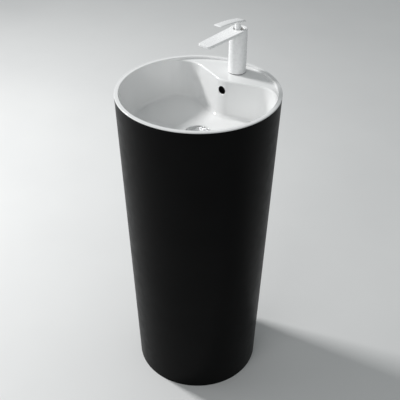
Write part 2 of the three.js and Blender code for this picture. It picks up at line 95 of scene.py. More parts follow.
def highest(node: str, axis: Axis) -> float:
    """A CAD node's highest coordinate, in millimetres."""
    return float(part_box(node)[1][axis.value]) / METRES


def middle(node: str, axis: Axis) -> float:
    """The middle of a CAD node's box, in millimetres."""
    return (lowest(node, axis) + highest(node, axis)) / 2.0


def read(measure: Callable[[str, Axis], float], node: str, axis: Axis, shift: float = 0.0) -> Any:
    """A dataclass field whose value is measured on the loaded frame.

    Args:
        measure: lowest, highest or middle.
        node: the CAD node.
        axis: the axis measured along.
        shift: what is added, in millimetres.

    Returns:
        The field.
    """
    return field(default_factory=lambda: measure(node, axis) + shift)


# ---------------------------------------------------------------- finishes
class Pattern(Enum):
    """What the surface of a finish shows close up."""

    GLAZE = "glaze"
    SATIN = "satin"
    POLISHED = "polished"
    BRUSHED = "brushed"
    TURNED = "turned"
    MOULDED = "moulded"


@dataclass(frozen=True)
class Finish:
    """A procedural finish, patterned on object coordinates.

    Attributes:
        label: the material's name.
        pattern: the kind of surface.
        colour: the main colour.
        shade: the colour that the mottling turns to.
        roughness: the lowest and highest roughness.
        metallic: 1 for bare metal.
        mottle: patches per metre of the colour's mottling.
        grain: bumps per metre of the fine relief.
        relief: depth of the fine relief, in millimetres.
        coat: weight of the clear top layer.
        specular: the shader's specular level.
    """

    label: str
    pattern: Pattern
    colour: RGB
    shade: RGB
    roughness: tuple[float, float]
    metallic: float = 0.0
    mottle: float = 9.0
    grain: float = 400.0
    relief: float = 0.02
    coat: float = 0.0
    specular: float = 0.5

    def material(self) -> bpy.types.Material:
        """The finish's material, made at its first use."""
        return bpy.data.materials.get(self.label) or self._make()

    def _make(self) -> bpy.types.Material:
        """Builds the node tree.

        Returns:
            The new material.
        """
        material = bpy.data.materials.new(self.label)
        material.use_nodes = True
        tree = material.node_tree
        shader = tree.nodes["Principled BSDF"]
        place = tree.nodes.new("ShaderNodeTexCoord").outputs["Object"]
        stretched = self._stretched(tree, place)
        patches = self._noise(tree, place, self.mottle, 4.0)
        wear = self._noise(tree, stretched, self.mottle * 6.0, 5.0)
        fine = self._noise(tree, stretched, self.grain, 2.0)
        mix = tree.nodes.new("ShaderNodeMix")
        mix.data_type = "RGBA"
        mix.inputs["A"].default_value = (*self.colour, 1.0)
        mix.inputs["B"].default_value = (*self.shade, 1.0)
        tree.links.new(self._range(tree, patches, 0.35, 0.68, 0.0, 1.0), mix.inputs["Factor"])
        tree.links.new(mix.outputs["Result"], shader.inputs["Base Color"])
        rough = self._range(tree, wear, 0.3, 0.7, *self.roughness)
        tree.links.new(rough, shader.inputs["Roughness"])
        bump = tree.nodes.new("ShaderNodeBump")
        bump.inputs["Strength"].default_value = 1.0
        bump.inputs["Distance"].default_value = self.relief * METRES
        tree.links.new(fine, bump.inputs["Height"])
        tree.links.new(bump.outputs["Normal"], shader.inputs["Normal"])
        shader.inputs["Metallic"].default_value = self.metallic
        shader.inputs["Specular IOR Level"].default_value = self.specular
        shader.inputs["Coat Weight"].default_value = self.coat
        shader.inputs["Coat Roughness"].default_value = 0.05
        return material

    def _stretched(self, tree: bpy.types.NodeTree, place: bpy.types.NodeSocket) -> bpy.types.NodeSocket:
        """Object coordinates, stretched along the lines that brushing or turning leaves.

        Args:
            tree: the material's node tree.
            place: the object coordinates.

        Returns:
            The stretched coordinates, or the same ones where the finish has no lines.
        """
        stretch = {Pattern.BRUSHED: (0.06, 1.0, 1.0), Pattern.TURNED: (0.05, 0.05, 1.0)}.get(self.pattern)
        if stretch is None:
            return place
        mapping = tree.nodes.new("ShaderNodeMapping")
        mapping.inputs["Scale"].default_value = stretch
        tree.links.new(place, mapping.inputs["Vector"])
        return mapping.outputs["Vector"]

    @staticmethod
    def _noise(
        tree: bpy.types.NodeTree, place: bpy.types.NodeSocket, scale: float, detail: float
    ) -> bpy.types.NodeSocket:
        """A noise of that many patches per metre.

        Args:
            tree: the material's node tree.
            place: the coordinates to read.
            scale: patches per metre.
            detail: layers of finer patches.

        Returns:
            The noise, from 0 to 1.
        """
        noise = tree.nodes.new("ShaderNodeTexNoise")
        noise.inputs["Scale"].default_value = scale
        noise.inputs["Detail"].default_value = detail
        tree.links.new(place, noise.inputs["Vector"])
        return noise.outputs["Fac"]

    @staticmethod
    def _range(
        tree: bpy.types.NodeTree, value: bpy.types.NodeSocket,
        low: float, high: float, to_low: float, to_high: float,
    ) -> bpy.types.NodeSocket:
        """A value carried from one range to another, and held inside it.

        Args:
            tree: the material's node tree.
            value: the value to carry.
            low: lowest value read.
            high: highest value read.
            to_low: what the lowest becomes.
            to_high: what the highest becomes.

        Returns:
            The new value.
        """
        node = tree.nodes.new("ShaderNodeMapRange")
        limits = ("From Min", low), ("From Max", high), ("To Min", to_low), ("To Max", to_high)
        for name, number in limits:
            node.inputs[name].default_value = number
        tree.links.new(value, node.inputs["Value"])
        return node.outputs["Result"]


WHITE_GLAZE = Finish(
    "fired_white_glaze", Pattern.GLAZE, (0.855, 0.856, 0.853), (0.84, 0.843, 0.840), (0.045, 0.08),
    mottle=14.0, grain=110.0, relief=0.006, coat=0.5,
)
# Near-black painted shade for the faces inside the overflow duct: it stands for the dark of the deep hole, not for a
# colour the ceramic has.
DUCT_PAINTED_SHADE = Finish(
    "duct_painted_shade", Pattern.MOULDED, (0.010, 0.010, 0.010), (0.016, 0.015, 0.015), (0.8, 0.9),
    mottle=60.0, grain=1500.0, relief=0.05, specular=0.1,
)
BLACK_GLAZE = Finish(
    "satin_black_glaze", Pattern.SATIN, (0.0034, 0.0034, 0.0035), (0.0044, 0.0044, 0.0045), (0.34, 0.42),
    mottle=7.0, grain=700.0, relief=0.005, specular=0.045,
)
WHITE_ENAMEL = Finish(
    "lacquered_white", Pattern.SATIN, (0.95, 0.952, 0.953), (0.935, 0.938, 0.94), (0.24, 0.32),
    mottle=25.0, grain=600.0, relief=0.0003, coat=0.1,
)
CHROME = Finish(
    "chrome_plate", Pattern.POLISHED, (0.72, 0.73, 0.74), (0.66, 0.67, 0.68), (0.06, 0.13),
    metallic=1.0, mottle=30.0, grain=500.0, relief=0.003,
)
SATIN_CHROME = Finish(
    "satin_chrome", Pattern.POLISHED, (0.60, 0.605, 0.61), (0.54, 0.545, 0.55), (0.26, 0.34),
    metallic=1.0, mottle=40.0, grain=900.0, relief=0.004,
)
BRASS = Finish(
    "machined_brass", Pattern.TURNED, (0.74, 0.55, 0.27), (0.62, 0.44, 0.20), (0.22, 0.38),
    metallic=1.0, mottle=40.0, grain=2600.0, relief=0.02,
)
STEEL = Finish(
    "zinc_steel", Pattern.BRUSHED, (0.58, 0.60, 0.62), (0.44, 0.46, 0.49), (0.28, 0.45),
    metallic=1.0, mottle=60.0, grain=2200.0, relief=0.02,
)
RUBBER = Finish(
    "black_rubber", Pattern.MOULDED, (0.018, 0.018, 0.018), (0.032, 0.031, 0.030), (0.62, 0.80),
    mottle=50.0, grain=3000.0, relief=0.04,
)
PLASTIC = Finish(
    "pale_plastic", Pattern.MOULDED, (0.84, 0.845, 0.84), (0.79, 0.80, 0.79), (0.38, 0.52),
    mottle=35.0, grain=2400.0, relief=0.02,
)
FLOOR = Finish(
    "pale_floor", Pattern.MOULDED, (0.78, 0.782, 0.778), (0.75, 0.752, 0.75), (0.55, 0.7),
    mottle=1.6, grain=60.0, relief=0.05, specular=0.3,
)


# ---------------------------------------------------------------- geometry nodes
class Recipe:
    """A geometry-nodes tree under construction, with named inputs, run once for each piece it makes."""

    def __init__(self, name: str) -> None:
        """Starts a tree with a geometry output.

        Args:
            name: the tree's name.
        """
        self.tree = bpy.data.node_groups.new(name, "GeometryNodeTree")
        self.tree.interface.new_socket("Geometry", in_out="OUTPUT", socket_type="NodeSocketGeometry")
        self.identifiers: dict[str, str] = {}
        self.entry = self.tree.nodes.new("NodeGroupInput")

    def number(self, name: str, whole: bool = False) -> bpy.types.NodeSocket:
        """Adds a named input.

        Args:
            name: the input's name.
            whole: True for a count.

        Returns:
            The socket inside the tree.
        """
        kind = "NodeSocketInt" if whole else "NodeSocketFloat"
        return self._input(name, kind)

    def _input(self, name: str, kind: str) -> bpy.types.NodeSocket:
        """Adds an input of a kind and keeps its identifier.

        Args:
            name: the input's name.
            kind: the type of its socket.

        Returns:
            The input inside the tree.
        """
        item = self.tree.interface.new_socket(name, in_out="INPUT", socket_type=kind)
        self.identifiers[name] = item.identifier
        return next(s for s in self.entry.outputs if s.identifier == item.identifier)

    def node(self, kind: str, settings: dict[str, Any] | None = None, **inputs: Any) -> bpy.types.Node:
        """Adds a node.

        Args:
            kind: the node's type.
            settings: its own properties.
            inputs: values or sockets, by input name with _ for a space, or i0, i1 for its place.

        Returns:
            The node.
        """
        made = self.tree.nodes.new(kind)
        for name, value in (settings or {}).items():
            setattr(made, name, value)
        for name, value in inputs.items():
            by_place = name[0] == "i" and name[1:].isdigit()
            target = made.inputs[int(name[1:])] if by_place else made.inputs[name.replace("_", " ")]
            for one in value if isinstance(value, list) else [value]:
                if isinstance(one, bpy.types.NodeSocket):
                    self.tree.links.new(one, target)
                else:
                    target.default_value = one
        return made

    def sum(self, operation: str, *terms: Any) -> bpy.types.NodeSocket:
        """The result of a math node on its terms."""
        inputs = {f"i{k}": term for k, term in enumerate(terms)}
        return self.node("ShaderNodeMath", {"operation": operation}, **inputs).outputs[0]

    def end(self, geometry: bpy.types.NodeSocket) -> Recipe:
        """Closes the tree with Realize Instances and Set Material.

        Args:
            geometry: the last geometry socket.

        Returns:
            The recipe.
        """
        material = self._input("Material", "NodeSocketMaterial")
        real = self.node("GeometryNodeRealizeInstances", i0=geometry).outputs[0]
        dressed = self.node("GeometryNodeSetMaterial", i0=real, Material=material).outputs[0]
        exit_node = self.tree.nodes.new("NodeGroupOutput")
        self.tree.links.new(dressed, exit_node.inputs[0])
        return self

    def run(self, finish: Finish, **values: float) -> Solid:
        """Makes one plain solid from the tree.

        Args:
            finish: the finish of the material input.
            values: the named inputs, with _ for a space.

        Returns:
            The solid.
        """
        holder = bpy.data.objects.new("recipe", bpy.data.meshes.new("recipe"))
        bpy.context.scene.collection.objects.link(holder)
        modifier = holder.modifiers.new("recipe", "NODES")
        modifier.node_group = self.tree
        modifier[self.identifiers["Material"]] = finish.material()
        for name, value in values.items():
            modifier[self.identifiers[name.replace("_", " ")]] = value
        made = Solid.taken_from(holder)
        LOG.debug("recipe %s made %d faces", self.tree.name, len(made.faces))
        return made


class Recipes:
    """The trees that the pieces share."""

    def __init__(self) -> None:
        """Builds every tree."""
        self.helix = self._helix()
        self.ribs = self._ribs()
        self.honeycomb = self._honeycomb()
        self.column = self._column()

    @staticmethod
    def _helix() -> Recipe:
        """A round wire wound on a cylinder: a thread's ridge, or a spring.

        Returns:
            The recipe.
        """
        recipe = Recipe("helix")
        radius, length, turns = recipe.number("Radius"), recipe.number("Length"), recipe.number("Turns")
        wire, sides = recipe.number("Wire"), recipe.number("Sides", whole=True)
        path = recipe.node(
            "GeometryNodeCurveSpiral", Resolution=32, Rotations=turns, Start_Radius=radius, End_Radius=radius,
            Height=length,
        )
        section = recipe.node("GeometryNodeCurvePrimitiveCircle", Resolution=sides, Radius=wire)
        swept = recipe.node(
            "GeometryNodeCurveToMesh", Curve=path.outputs[0], Profile_Curve=section.outputs[0], Fill_Caps=True
        )
        return recipe.end(swept.outputs[0])

    @staticmethod
    def _ribs() -> Recipe:
        """Upright bars spaced round a ring: the grips of a nut.

        Returns:
            The recipe.
        """
        recipe = Recipe("grip_ribs")
        radius, count = recipe.number("Radius"), recipe.number("Count", whole=True)
        size = [recipe.number(name) for name in ("Depth", "Width", "Height")]
        ring = recipe.node("GeometryNodeMeshCircle", Vertices=count, Radius=radius)
        box = recipe.node("ShaderNodeCombineXYZ", i0=size[0], i1=size[1], i2=size[2])
        bar = recipe.node("GeometryNodeMeshCube", Size=box.outputs[0])
        index = recipe.node("GeometryNodeInputIndex").outputs[0]
        turn = recipe.sum("MULTIPLY", recipe.sum("DIVIDE", index, count), 2.0 * math.pi)
        rotation = recipe.node("ShaderNodeCombineXYZ", i2=turn)
        placed = recipe.node(
            "GeometryNodeInstanceOnPoints", Points=ring.outputs[0], Instance=bar.outputs[0],
            Rotation=rotation.outputs[0],
        )
        return recipe.end(placed.outputs[0])

    @staticmethod
    def _honeycomb() -> Recipe:
        """A round sieve of six-sided cells.

        Returns:
            The recipe.
        """
        recipe = Recipe("honeycomb")
        radius, cell, wire = recipe.number("Radius"), recipe.number("Cell"), recipe.number("Wire")
        rows = 13
        row_step = math.sqrt(3.0) / 2.0
        across = recipe.sum("MULTIPLY", cell, float(rows - 1))
        along = recipe.sum("MULTIPLY", across, row_step)
        grid = recipe.node("GeometryNodeMeshGrid", Size_X=across, Size_Y=along, Vertices_X=rows, Vertices_Y=rows)
        place = recipe.node("ShaderNodeSeparateXYZ", i0=recipe.node("GeometryNodeInputPosition").outputs[0])
        from_edge = recipe.sum("ADD", place.outputs[1], recipe.sum("MULTIPLY", along, 0.5))
        row = recipe.sum("ROUND", recipe.sum("DIVIDE", from_edge, recipe.sum("MULTIPLY", cell, row_step)))
        shift = recipe.sum("MULTIPLY", recipe.sum("MODULO", row, 2.0), recipe.sum("MULTIPLY", cell, 0.5))
        offset = recipe.node("ShaderNodeCombineXYZ", i0=shift)
        moved = recipe.node("GeometryNodeSetPosition", Geometry=grid.outputs[0], Offset=offset.outputs[0])
        reach = recipe.node(
            "ShaderNodeVectorMath", {"operation": "LENGTH"},
            i0=recipe.node("GeometryNodeInputPosition").outputs[0],
        ).outputs["Value"]
        limit = recipe.sum("SUBTRACT", radius, recipe.sum("MULTIPLY", cell, 0.6))
        outside = recipe.node(
            "FunctionNodeCompare", {"data_type": "FLOAT", "operation": "GREATER_THAN"}, i0=reach, i1=limit
        ).outputs[0]
        kept = recipe.node("GeometryNodeDeleteGeometry", Geometry=moved.outputs[0], Selection=outside)
        rim = recipe.node(
            "GeometryNodeCurvePrimitiveCircle", Resolution=6, Radius=recipe.sum("DIVIDE", cell, math.sqrt(3.0))
        )
        section = recipe.node("GeometryNodeCurvePrimitiveCircle", Resolution=6, Radius=wire)
        hexagon = recipe.node(
            "GeometryNodeCurveToMesh", Curve=rim.outputs[0], Profile_Curve=section.outputs[0], Fill_Caps=False
        )
        turned = recipe.node(
            "GeometryNodeTransform", Geometry=hexagon.outputs[0], Rotation=(0.0, 0.0, math.radians(30.0))
        )
        placed = recipe.node(
            "GeometryNodeInstanceOnPoints", Points=kept.outputs[0], Instance=turned.outputs[0]
        )
        return recipe.end(placed.outputs[0])

    @staticmethod
    def _column() -> Recipe:
        """A straight tapered tube with a thicker foot and an arched opening cut through its back.

        Returns:
            The recipe.
        """
        recipe = Recipe("tapered_column")
        sides = recipe.number("Sides", whole=True)
        base, top, height = recipe.number("Base"), recipe.number("Top"), recipe.number("Height")
        wall, foot, foot_height = recipe.number("Wall"), recipe.number("Foot"), recipe.number("Foot Height")
        half_width, springing = recipe.number("Notch Half Width"), recipe.number("Notch Springing")
        taper = recipe.sum("DIVIDE", recipe.sum("SUBTRACT", top, base), height)

        def cone(low: Any, high: Any, start: Any, rise: Any, rows: int) -> bpy.types.NodeSocket:
            """A frustum from one height up.

            Args:
                low: radius at the bottom.
                high: radius at the top.
                start: height of the bottom.
                rise: height from bottom to top.
                rows: rows of faces up the side.

            Returns:
                The frustum's mesh.
            """
            made = recipe.node(
                "GeometryNodeMeshCone", Vertices=sides, Side_Segments=rows, Radius_Top=high, Radius_Bottom=low,
                Depth=rise,
            )
            up = recipe.node("ShaderNodeCombineXYZ", i2=start)
            return recipe.node(
                "GeometryNodeTransform", Geometry=made.outputs[0], Translation=up.outputs[0]
            ).outputs[0]

        def inner(z: Any) -> bpy.types.NodeSocket:
            """The inside radius at a height."""
            return recipe.sum("SUBTRACT", recipe.sum("ADD", base, recipe.sum("MULTIPLY", taper, z)), wall)

        blend_end = recipe.sum("MULTIPLY", foot_height, 2.2)
        over = recipe.sum("ADD", height, 2.0)
        body = cone(base, top, 0.0, height, 48)
        bore = cone(inner(blend_end), inner(over), blend_end, recipe.sum("SUBTRACT", over, blend_end), 40)
        blend = cone(
            foot, inner(recipe.sum("ADD", blend_end, 0.4)), foot_height,
            recipe.sum("SUBTRACT", recipe.sum("ADD", blend_end, 0.4), foot_height), 1,
        )
        mouth = cone(foot, foot, -2.0, recipe.sum("ADD", foot_height, 2.4), 1)
        box = recipe.node(
            "ShaderNodeCombineXYZ", i0=recipe.sum("MULTIPLY", half_width, 2.0), i1=200.0,
            i2=recipe.sum("ADD", springing, 10.0),
        )
        block = recipe.node("GeometryNodeMeshCube", Size=box.outputs[0])
        lift = recipe.node(
            "ShaderNodeCombineXYZ", i1=200.0,
            i2=recipe.sum("SUBTRACT", recipe.sum("MULTIPLY", springing, 0.5), 5.0),
        )
        doorway = recipe.node("GeometryNodeTransform", Geometry=block.outputs[0], Translation=lift.outputs[0])
        barrel = recipe.node("GeometryNodeMeshCylinder", Vertices=96, Radius=half_width, Depth=200.0)
        crown_place = recipe.node("ShaderNodeCombineXYZ", i1=200.0, i2=springing)
        crown = recipe.node(
            "GeometryNodeTransform", Geometry=barrel.outputs[0], Translation=crown_place.outputs[0],
            Rotation=(math.radians(90.0), 0.0, 0.0),
        )
        arch = recipe.node(
            "GeometryNodeMeshBoolean", {"operation": "UNION", "solver": "EXACT"},
            i1=[doorway.outputs[0], crown.outputs[0]],
        )
        carved = body
        for tool in (bore, blend, mouth, arch.outputs[0]):
            carved = recipe.node(
                "GeometryNodeMeshBoolean", {"operation": "DIFFERENCE", "solver": "EXACT"}, i0=carved, i1=tool
            ).outputs[0]
        return recipe.end(carved)


# ---------------------------------------------------------------- solids
def rounded(corners: Sequence[Corner], steps: int = 6) -> list[tuple[float, float]]:
    """Rounds the corners of a closed outline.

    Args:
        corners: x, y and rounding radius of each corner.
        steps: segments in each rounding.

    Returns:
        The outline's points.
    """
    points: list[tuple[float, float]] = []
    count = len(corners)
    for k, (x, y, radius) in enumerate(corners):
        here = Vector((x, y))
        before = Vector(corners[k - 1][:2]) - here
        after = Vector(corners[(k + 1) % count][:2]) - here
        if radius <= 0.0:
            points.append((x, y))
            continue
        half = before.angle(after) / 2.0
        reach = min(radius / math.tan(half), 0.48 * before.length, 0.48 * after.length)
        start, end = here + before.normalized() * reach, here + after.normalized() * reach
        middle = here + (before.normalized() + after.normalized()).normalized() * (reach / math.cos(half))
        first, last = start - middle, end - middle
        sweep = first.angle_signed(last)
        for step in range(steps + 1):
            turn = Matrix.Rotation(-sweep * step / steps, 2)
            points.append(tuple(middle + turn @ first))
    return points


def ring_profile(inner: float, outer: float, low: float, high: float, edge: float = 0.3) -> list[Corner]:
    """The section of a flat ring with rounded edges."""
    return [(inner, low, edge), (outer, low, edge), (outer, high, edge), (inner, high, edge)]


def rod_profile(radius: float, low: float, high: float, edge: float = 0.3) -> list[Corner]:
    """The section of a rod with rounded ends."""
    return [(0.0, low, 0.0), (radius, low, edge), (radius, high, edge), (0.0, high, 0.0)]


@dataclass
class Solid:
    """A closed mesh in millimetres."""

    points: list[Vector] = field(default_factory=list)
    faces: list[tuple[int, ...]] = field(default_factory=list)

    @classmethod
    def taken_from(cls, holder: bpy.types.Object) -> Solid:
        """Reads an object's evaluated mesh and removes the object.

        Args:
            holder: an object in the scene, with or without modifiers.

        Returns:
            The solid it showed.
        """
        graph = bpy.context.evaluated_depsgraph_get()
        mesh = bpy.data.meshes.new_from_object(holder.evaluated_get(graph))
        made = cls([v.co.copy() for v in mesh.vertices], [tuple(p.vertices) for p in mesh.polygons])
        bpy.data.meshes.remove(mesh)
        bpy.data.objects.remove(holder)
        return made

    @classmethod
    def loft(cls, rings: Sequence[Sequence[Vector]], closed: bool = False) -> Solid:
        """A skin through rings of equal point counts.

        Args:
            rings: the rings, in order.
            closed: True where the last ring joins the first; otherwise each end gets a cap.

        Returns:
            The solid.
        """
        count = len(rings[0])
        points = [p.copy() for ring in rings for p in ring]
        faces: list[tuple[int, ...]] = []
        for k in range(len(rings) if closed else len(rings) - 1):
            low, high = k * count, ((k + 1) % len(rings)) * count
            for i in range(count):
                j = (i + 1) % count
                faces.append((low + i, low + j, high + j, high + i))
        if not closed:
            faces.append(tuple(reversed(range(count))))
            faces.append(tuple(range(len(points) - count, len(points))))
        return cls(points, faces)

    @classmethod
    def lathe(cls, profile: Sequence[Corner], sides: int = FINE, steps: int = 6) -> Solid:
        """A body turned about the Z axis.

        Args:
            profile: the closed section, as radius, height and rounding. Points on the axis stay sharp.
            sides: sides of the circle.
            steps: segments in each rounding.

        Returns:
            The solid.
        """
        section = rounded(profile, steps)
        points: list[Vector] = []
        rows: list[list[int]] = []
        for radius, height in section:
            if radius < 1e-6:
                rows.append([len(points)] * sides)
                points.append(Vector((0.0, 0.0, height)))
                continue
            rows.append(list(range(len(points), len(points) + sides)))
            for k in range(sides):
                angle = 2.0 * math.pi * k / sides
                points.append(Vector((radius * math.cos(angle), radius * math.sin(angle), height)))
        faces: list[tuple[int, ...]] = []
        for k, row in enumerate(rows):
            below = rows[k - 1]
            for i in range(sides):
                j = (i + 1) % sides
                corners = list(dict.fromkeys((below[i], below[j], row[j], row[i])))
                if len(corners) > 2:
                    faces.append(tuple(corners))
        return cls(points, faces)

    @classmethod
    def prism(cls, outline: Sequence[tuple[float, float]], low: float, high: float) -> Solid:
        """A flat outline raised from one height to another."""
        return cls.loft([[Vector((x, y, z)) for x, y in outline] for z in (low, high)])

    @classmethod
    def block(cls, low: Sequence[float], high: Sequence[float], edge: float = 0.0) -> Solid:
        """A box between two corners, with its upright edges rounded."""
        corners = [
            (low[0], low[1], edge), (high[0], low[1], edge),
            (high[0], high[1], edge), (low[0], high[1], edge),
        ]
        return cls.prism(rounded(corners), low[2], high[2])

    @classmethod
    def hexagon(cls, corner_radius: float, low: float, high: float, chamfer: float = 0.6) -> Solid:
        """A six-sided nut or head whose corners are chamfered by a cone.

        Args:
            corner_radius: from the middle to a corner.
            low: height of the lower face.
            high: height of the upper face.
            chamfer: size of the corners' chamfer.

        Returns:
            The nut or head, with no bore.
        """
        six = [
            (corner_radius * math.cos(math.pi * k / 3.0), corner_radius * math.sin(math.pi * k / 3.0))
            for k in range(6)
        ]
        flat = corner_radius * math.cos(math.pi / 6.0)
        rise = corner_radius - flat
        lens = cls.lathe(
            [(0.0, low, 0.0), (flat, low, 0.0), (corner_radius + 0.1, low + rise * chamfer, 0.0),
             (corner_radius + 0.1, high - rise * chamfer, 0.0), (flat, high, 0.0), (0.0, high, 0.0)],
        )
        return cls.prism(six, low, high).combined(lens, operation="INTERSECT")

    def moved(self, *matrices: Matrix) -> Solid:
        """A copy with the matrices applied in order.

        Args:
            matrices: the moves, first to last.

        Returns:
            The moved copy.
        """
        points = [p.copy() for p in self.points]
        for matrix in matrices:
            points = [matrix @ p for p in points]
        return Solid(points, list(self.faces))

    def at(self, x: float = 0.0, y: float = 0.0, z: float = 0.0) -> Solid:
        """A copy moved by a distance."""
        return self.moved(Matrix.Translation((x, y, z)))

    def along_y(self, z: float = 0.0) -> Solid:
        """A piece made on the Z axis, laid along +Y at a height."""
        return self.moved(Matrix.Rotation(math.radians(-90.0), 4, "X"), Matrix.Translation((0.0, 0.0, z)))

    def along_x(self, z: float = 0.0) -> Solid:
        """A piece made on the Z axis, laid along +X at a height."""
        return self.moved(Matrix.Rotation(math.radians(90.0), 4, "Y"), Matrix.Translation((0.0, 0.0, z)))

    def half_turned(self, turned: bool) -> Solid:
        """A copy turned half round the Z axis, or the piece as it is."""
        return self.moved(Matrix.Rotation(math.pi, 4, "Z")) if turned else self

    def with_(self, *others: Solid) -> Solid:
        """This solid and others as one mesh of several shells.

        Args:
            others: the solids to add.

        Returns:
            The mesh of them all.
        """
        points, faces = list(self.points), list(self.faces)
        for other in others:
            start = len(points)
            points += other.points
            faces += [tuple(start + i for i in face) for face in other.faces]
        return Solid(points, faces)

    def combined(self, *tools: Solid, operation: str = "DIFFERENCE") -> Solid:
        """Cuts, joins or intersects with other solids.

        Args:
            tools: the other solids, used one after another.
            operation: DIFFERENCE, UNION or INTERSECT.

        Returns:
            The result.
        """
        body = self.as_object("body")
        cutters = [tool.as_object("tool") for tool in tools]
        for cutter in cutters:
            modifier = body.modifiers.new("cut", "BOOLEAN")
            modifier.operation = operation
            modifier.solver = "EXACT"
            modifier.object = cutter
        made = Solid.taken_from(body)
        for cutter in cutters:
            bpy.data.objects.remove(cutter)
        return made

    def as_object(self, name: str, scale: float = 1.0, merge: float = 1e-4) -> bpy.types.Object:
        """An object in the scene that shows the solid, with its doubles merged and its faces turned out.

        Args:
            name: the object's name.
            scale: what the coordinates are multiplied by.
            merge: the distance within which points are one, before scaling.

        Returns:
            The object.
        """
        mesh = bpy.data.meshes.new(name)
        mesh.from_pydata([p * scale for p in self.points], [], self.faces)
        made = bmesh.new()
        made.from_mesh(mesh)
        bmesh.ops.remove_doubles(made, verts=made.verts, dist=merge * scale)
        bmesh.ops.dissolve_degenerate(made, edges=made.edges, dist=merge * scale)
        bmesh.ops.recalc_face_normals(made, faces=made.faces)
        made.to_mesh(mesh)
        made.free()
        holder = bpy.data.objects.new(name, mesh)
        bpy.context.scene.collection.objects.link(holder)
        return holder


class Workshop:
    """Sets finished pieces in place of their CAD nodes."""

    def __init__(self, record: dict[str, Any]) -> None:
        """Reads which body and slot each node has.

        Args:
            record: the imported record.
        """
        self.recipes = Recipes()
        self.slots = {part["node"]: part["material_slot"] for part in record["subparts"]}
        bodies = record["behaviour"]["bodies"]
        self.bodies = {node: body for body, nodes in bodies.items() for node in nodes}

    def place(
        self, solid: Solid, node: str, finish: Finish, name: str = "", crease: float = 38.0,
        in_painted_shade: Callable[[Vector], bool] | None = None, spans: tuple[str, str, float, float] | None = None,
    ) -> None:
        """Makes a piece's object, dresses it and lets it stand for its node.

        Args:
            solid: the piece.
            node: the CAD node it stands for.
            finish: its finish.
            name: its name, if not the node's with _made.
            crease: faces that meet at more than this many degrees keep a sharp edge.
            in_painted_shade: tells from a face's middle, in millimetres, whether it is inside the duct; those
                faces get the near-black painted shade that stands for the dark of the deep hole.
            spans: for a piece that stretches between two bodies, their names and the heights, in
                millimetres, that it stretches between. Only whether it is given is used; the names and
                heights are not read, and such a piece is left on no body.
        """
        piece = solid.as_object(name or f"{node}_made", METRES)
        piece.data.materials.append(finish.material())
        # Faces inside the duct get the near-black painted shade as a second material.
        if in_painted_shade is not None:
            piece.data.materials.append(DUCT_PAINTED_SHADE.material())
            for face in piece.data.polygons:
                face.material_index = int(in_painted_shade(face.center / METRES))
        piece.data.shade_smooth()
        piece.data.set_sharp_from_angle(angle=math.radians(crease))
        weighted = piece.modifiers.new("weighted", "WEIGHTED_NORMAL")
        weighted.keep_sharp = True
        graph = bpy.context.evaluated_depsgraph_get()
        plain = bpy.data.meshes.new_from_object(
            piece.evaluated_get(graph), preserve_all_data_layers=True, depsgraph=graph
        )
        piece.modifiers.remove(weighted)
        piece.data = plain
        if spans is None:
            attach(piece, self.bodies[node])
        else:
            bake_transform(piece)
        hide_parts(node)
        LOG.info("%s: %d faces on %s", piece.name, len(plain.polygons), self.bodies[node])

    def thread(self, radius: float, low: float, high: float, pitch: float, finish: Finish) -> Solid:
        """The ridge of a thread round the Z axis.

        Args:
            radius: outer radius of the thread.
            low: where it starts.
            high: where it ends.
            pitch: the distance between turns.
            finish: the piece's finish.

        Returns:
            The ridge, sunk into the shank by most of its wire.
        """
        wire = pitch * 0.42
        length = high - low - 2.0 * wire
        ridge = self.recipes.helix.run(
            finish, Radius=radius - wire, Length=length, Turns=length / pitch, Wire=wire, Sides=6
        )
        return ridge.at(z=low + wire)

    def grips(
        self, radius: float, count: int, size: tuple[float, float, float], low: float, finish: Finish
    ) -> Solid:
        """Grip bars round a nut, standing on a height.

        Args:
            radius: radius of the circle through the bars' centres.
            count: how many bars.
            size: depth, width and height of a bar.
            low: where the bars start.
            finish: the piece's finish.

        Returns:
            The bars.
        """
        bars = self.recipes.ribs.run(
            finish, Radius=radius, Count=count, Depth=size[0], Width=size[1], Height=size[2]
        )
        return bars.at(z=low + size[2] / 2.0)


# ---------------------------------------------------------------- the ware
@dataclass
class WavePlan:
    """The bowl's plan: a circle whose back is pushed in by a rounded nose between two lobes."""

    nose_radius: float = 60.0
    flank: float = math.radians(20.0)
    lobe_radius: float = 65.0
    counts: tuple[int, int, int, int] = (12, 14, 26, 110)

    def ring(self, radius: float, nose: float, z: float, grow: float = 0.0) -> list[Vector]:
        """One level of the bowl.

        Args:
            radius: radius of the round wall.
            nose: how far back the nose's tip is.
            z: the level's height.
            grow: how far the curves are offset outwards from the plan's own.

        Returns:
            The points, once round. Each level has the same count, curve by curve.
        """
        nose_radius, lobe = self.nose_radius - grow, self.lobe_radius + grow
        along = Vector((math.cos(self.flank), math.sin(self.flank)))
        inward = Vector((along.y, -along.x))
        start = Vector((nose_radius * along.y, nose + nose_radius * (1.0 - along.x)))
        base = start + inward * lobe
        shift = base.dot(along)
        travel = -shift + math.sqrt(shift * shift - base.length_squared + (radius - lobe) ** 2)
        centre = base + along * travel
        touch = math.atan2(centre.y, centre.x)
        first_turn = math.pi / 2.0 + self.flank
        nose_count, flank_count, lobe_count, wall_count = self.counts
        half: list[Vector] = []
        for k in range(nose_count):
            angle = self.flank * k / nose_count
            half.append(Vector((nose_radius * math.sin(angle), nose + nose_radius * (1.0 - math.cos(angle)))))
        for k in range(flank_count):
            half.append(start + along * (travel * k / flank_count))
        for k in range(lobe_count):
            angle = first_turn + (touch - first_turn) * k / lobe_count
            half.append(centre + Vector((math.cos(angle), math.sin(angle))) * lobe)
        for k in range(wall_count + 1):
            angle = touch + (-math.pi / 2.0 - touch) * k / wall_count
            half.append(Vector((math.cos(angle), math.sin(angle))) * radius)
        other = [Vector((-p.x, p.y)) for p in reversed(half[1:-1])]
        return [Vector((p.x, p.y, z)) for p in half + other]


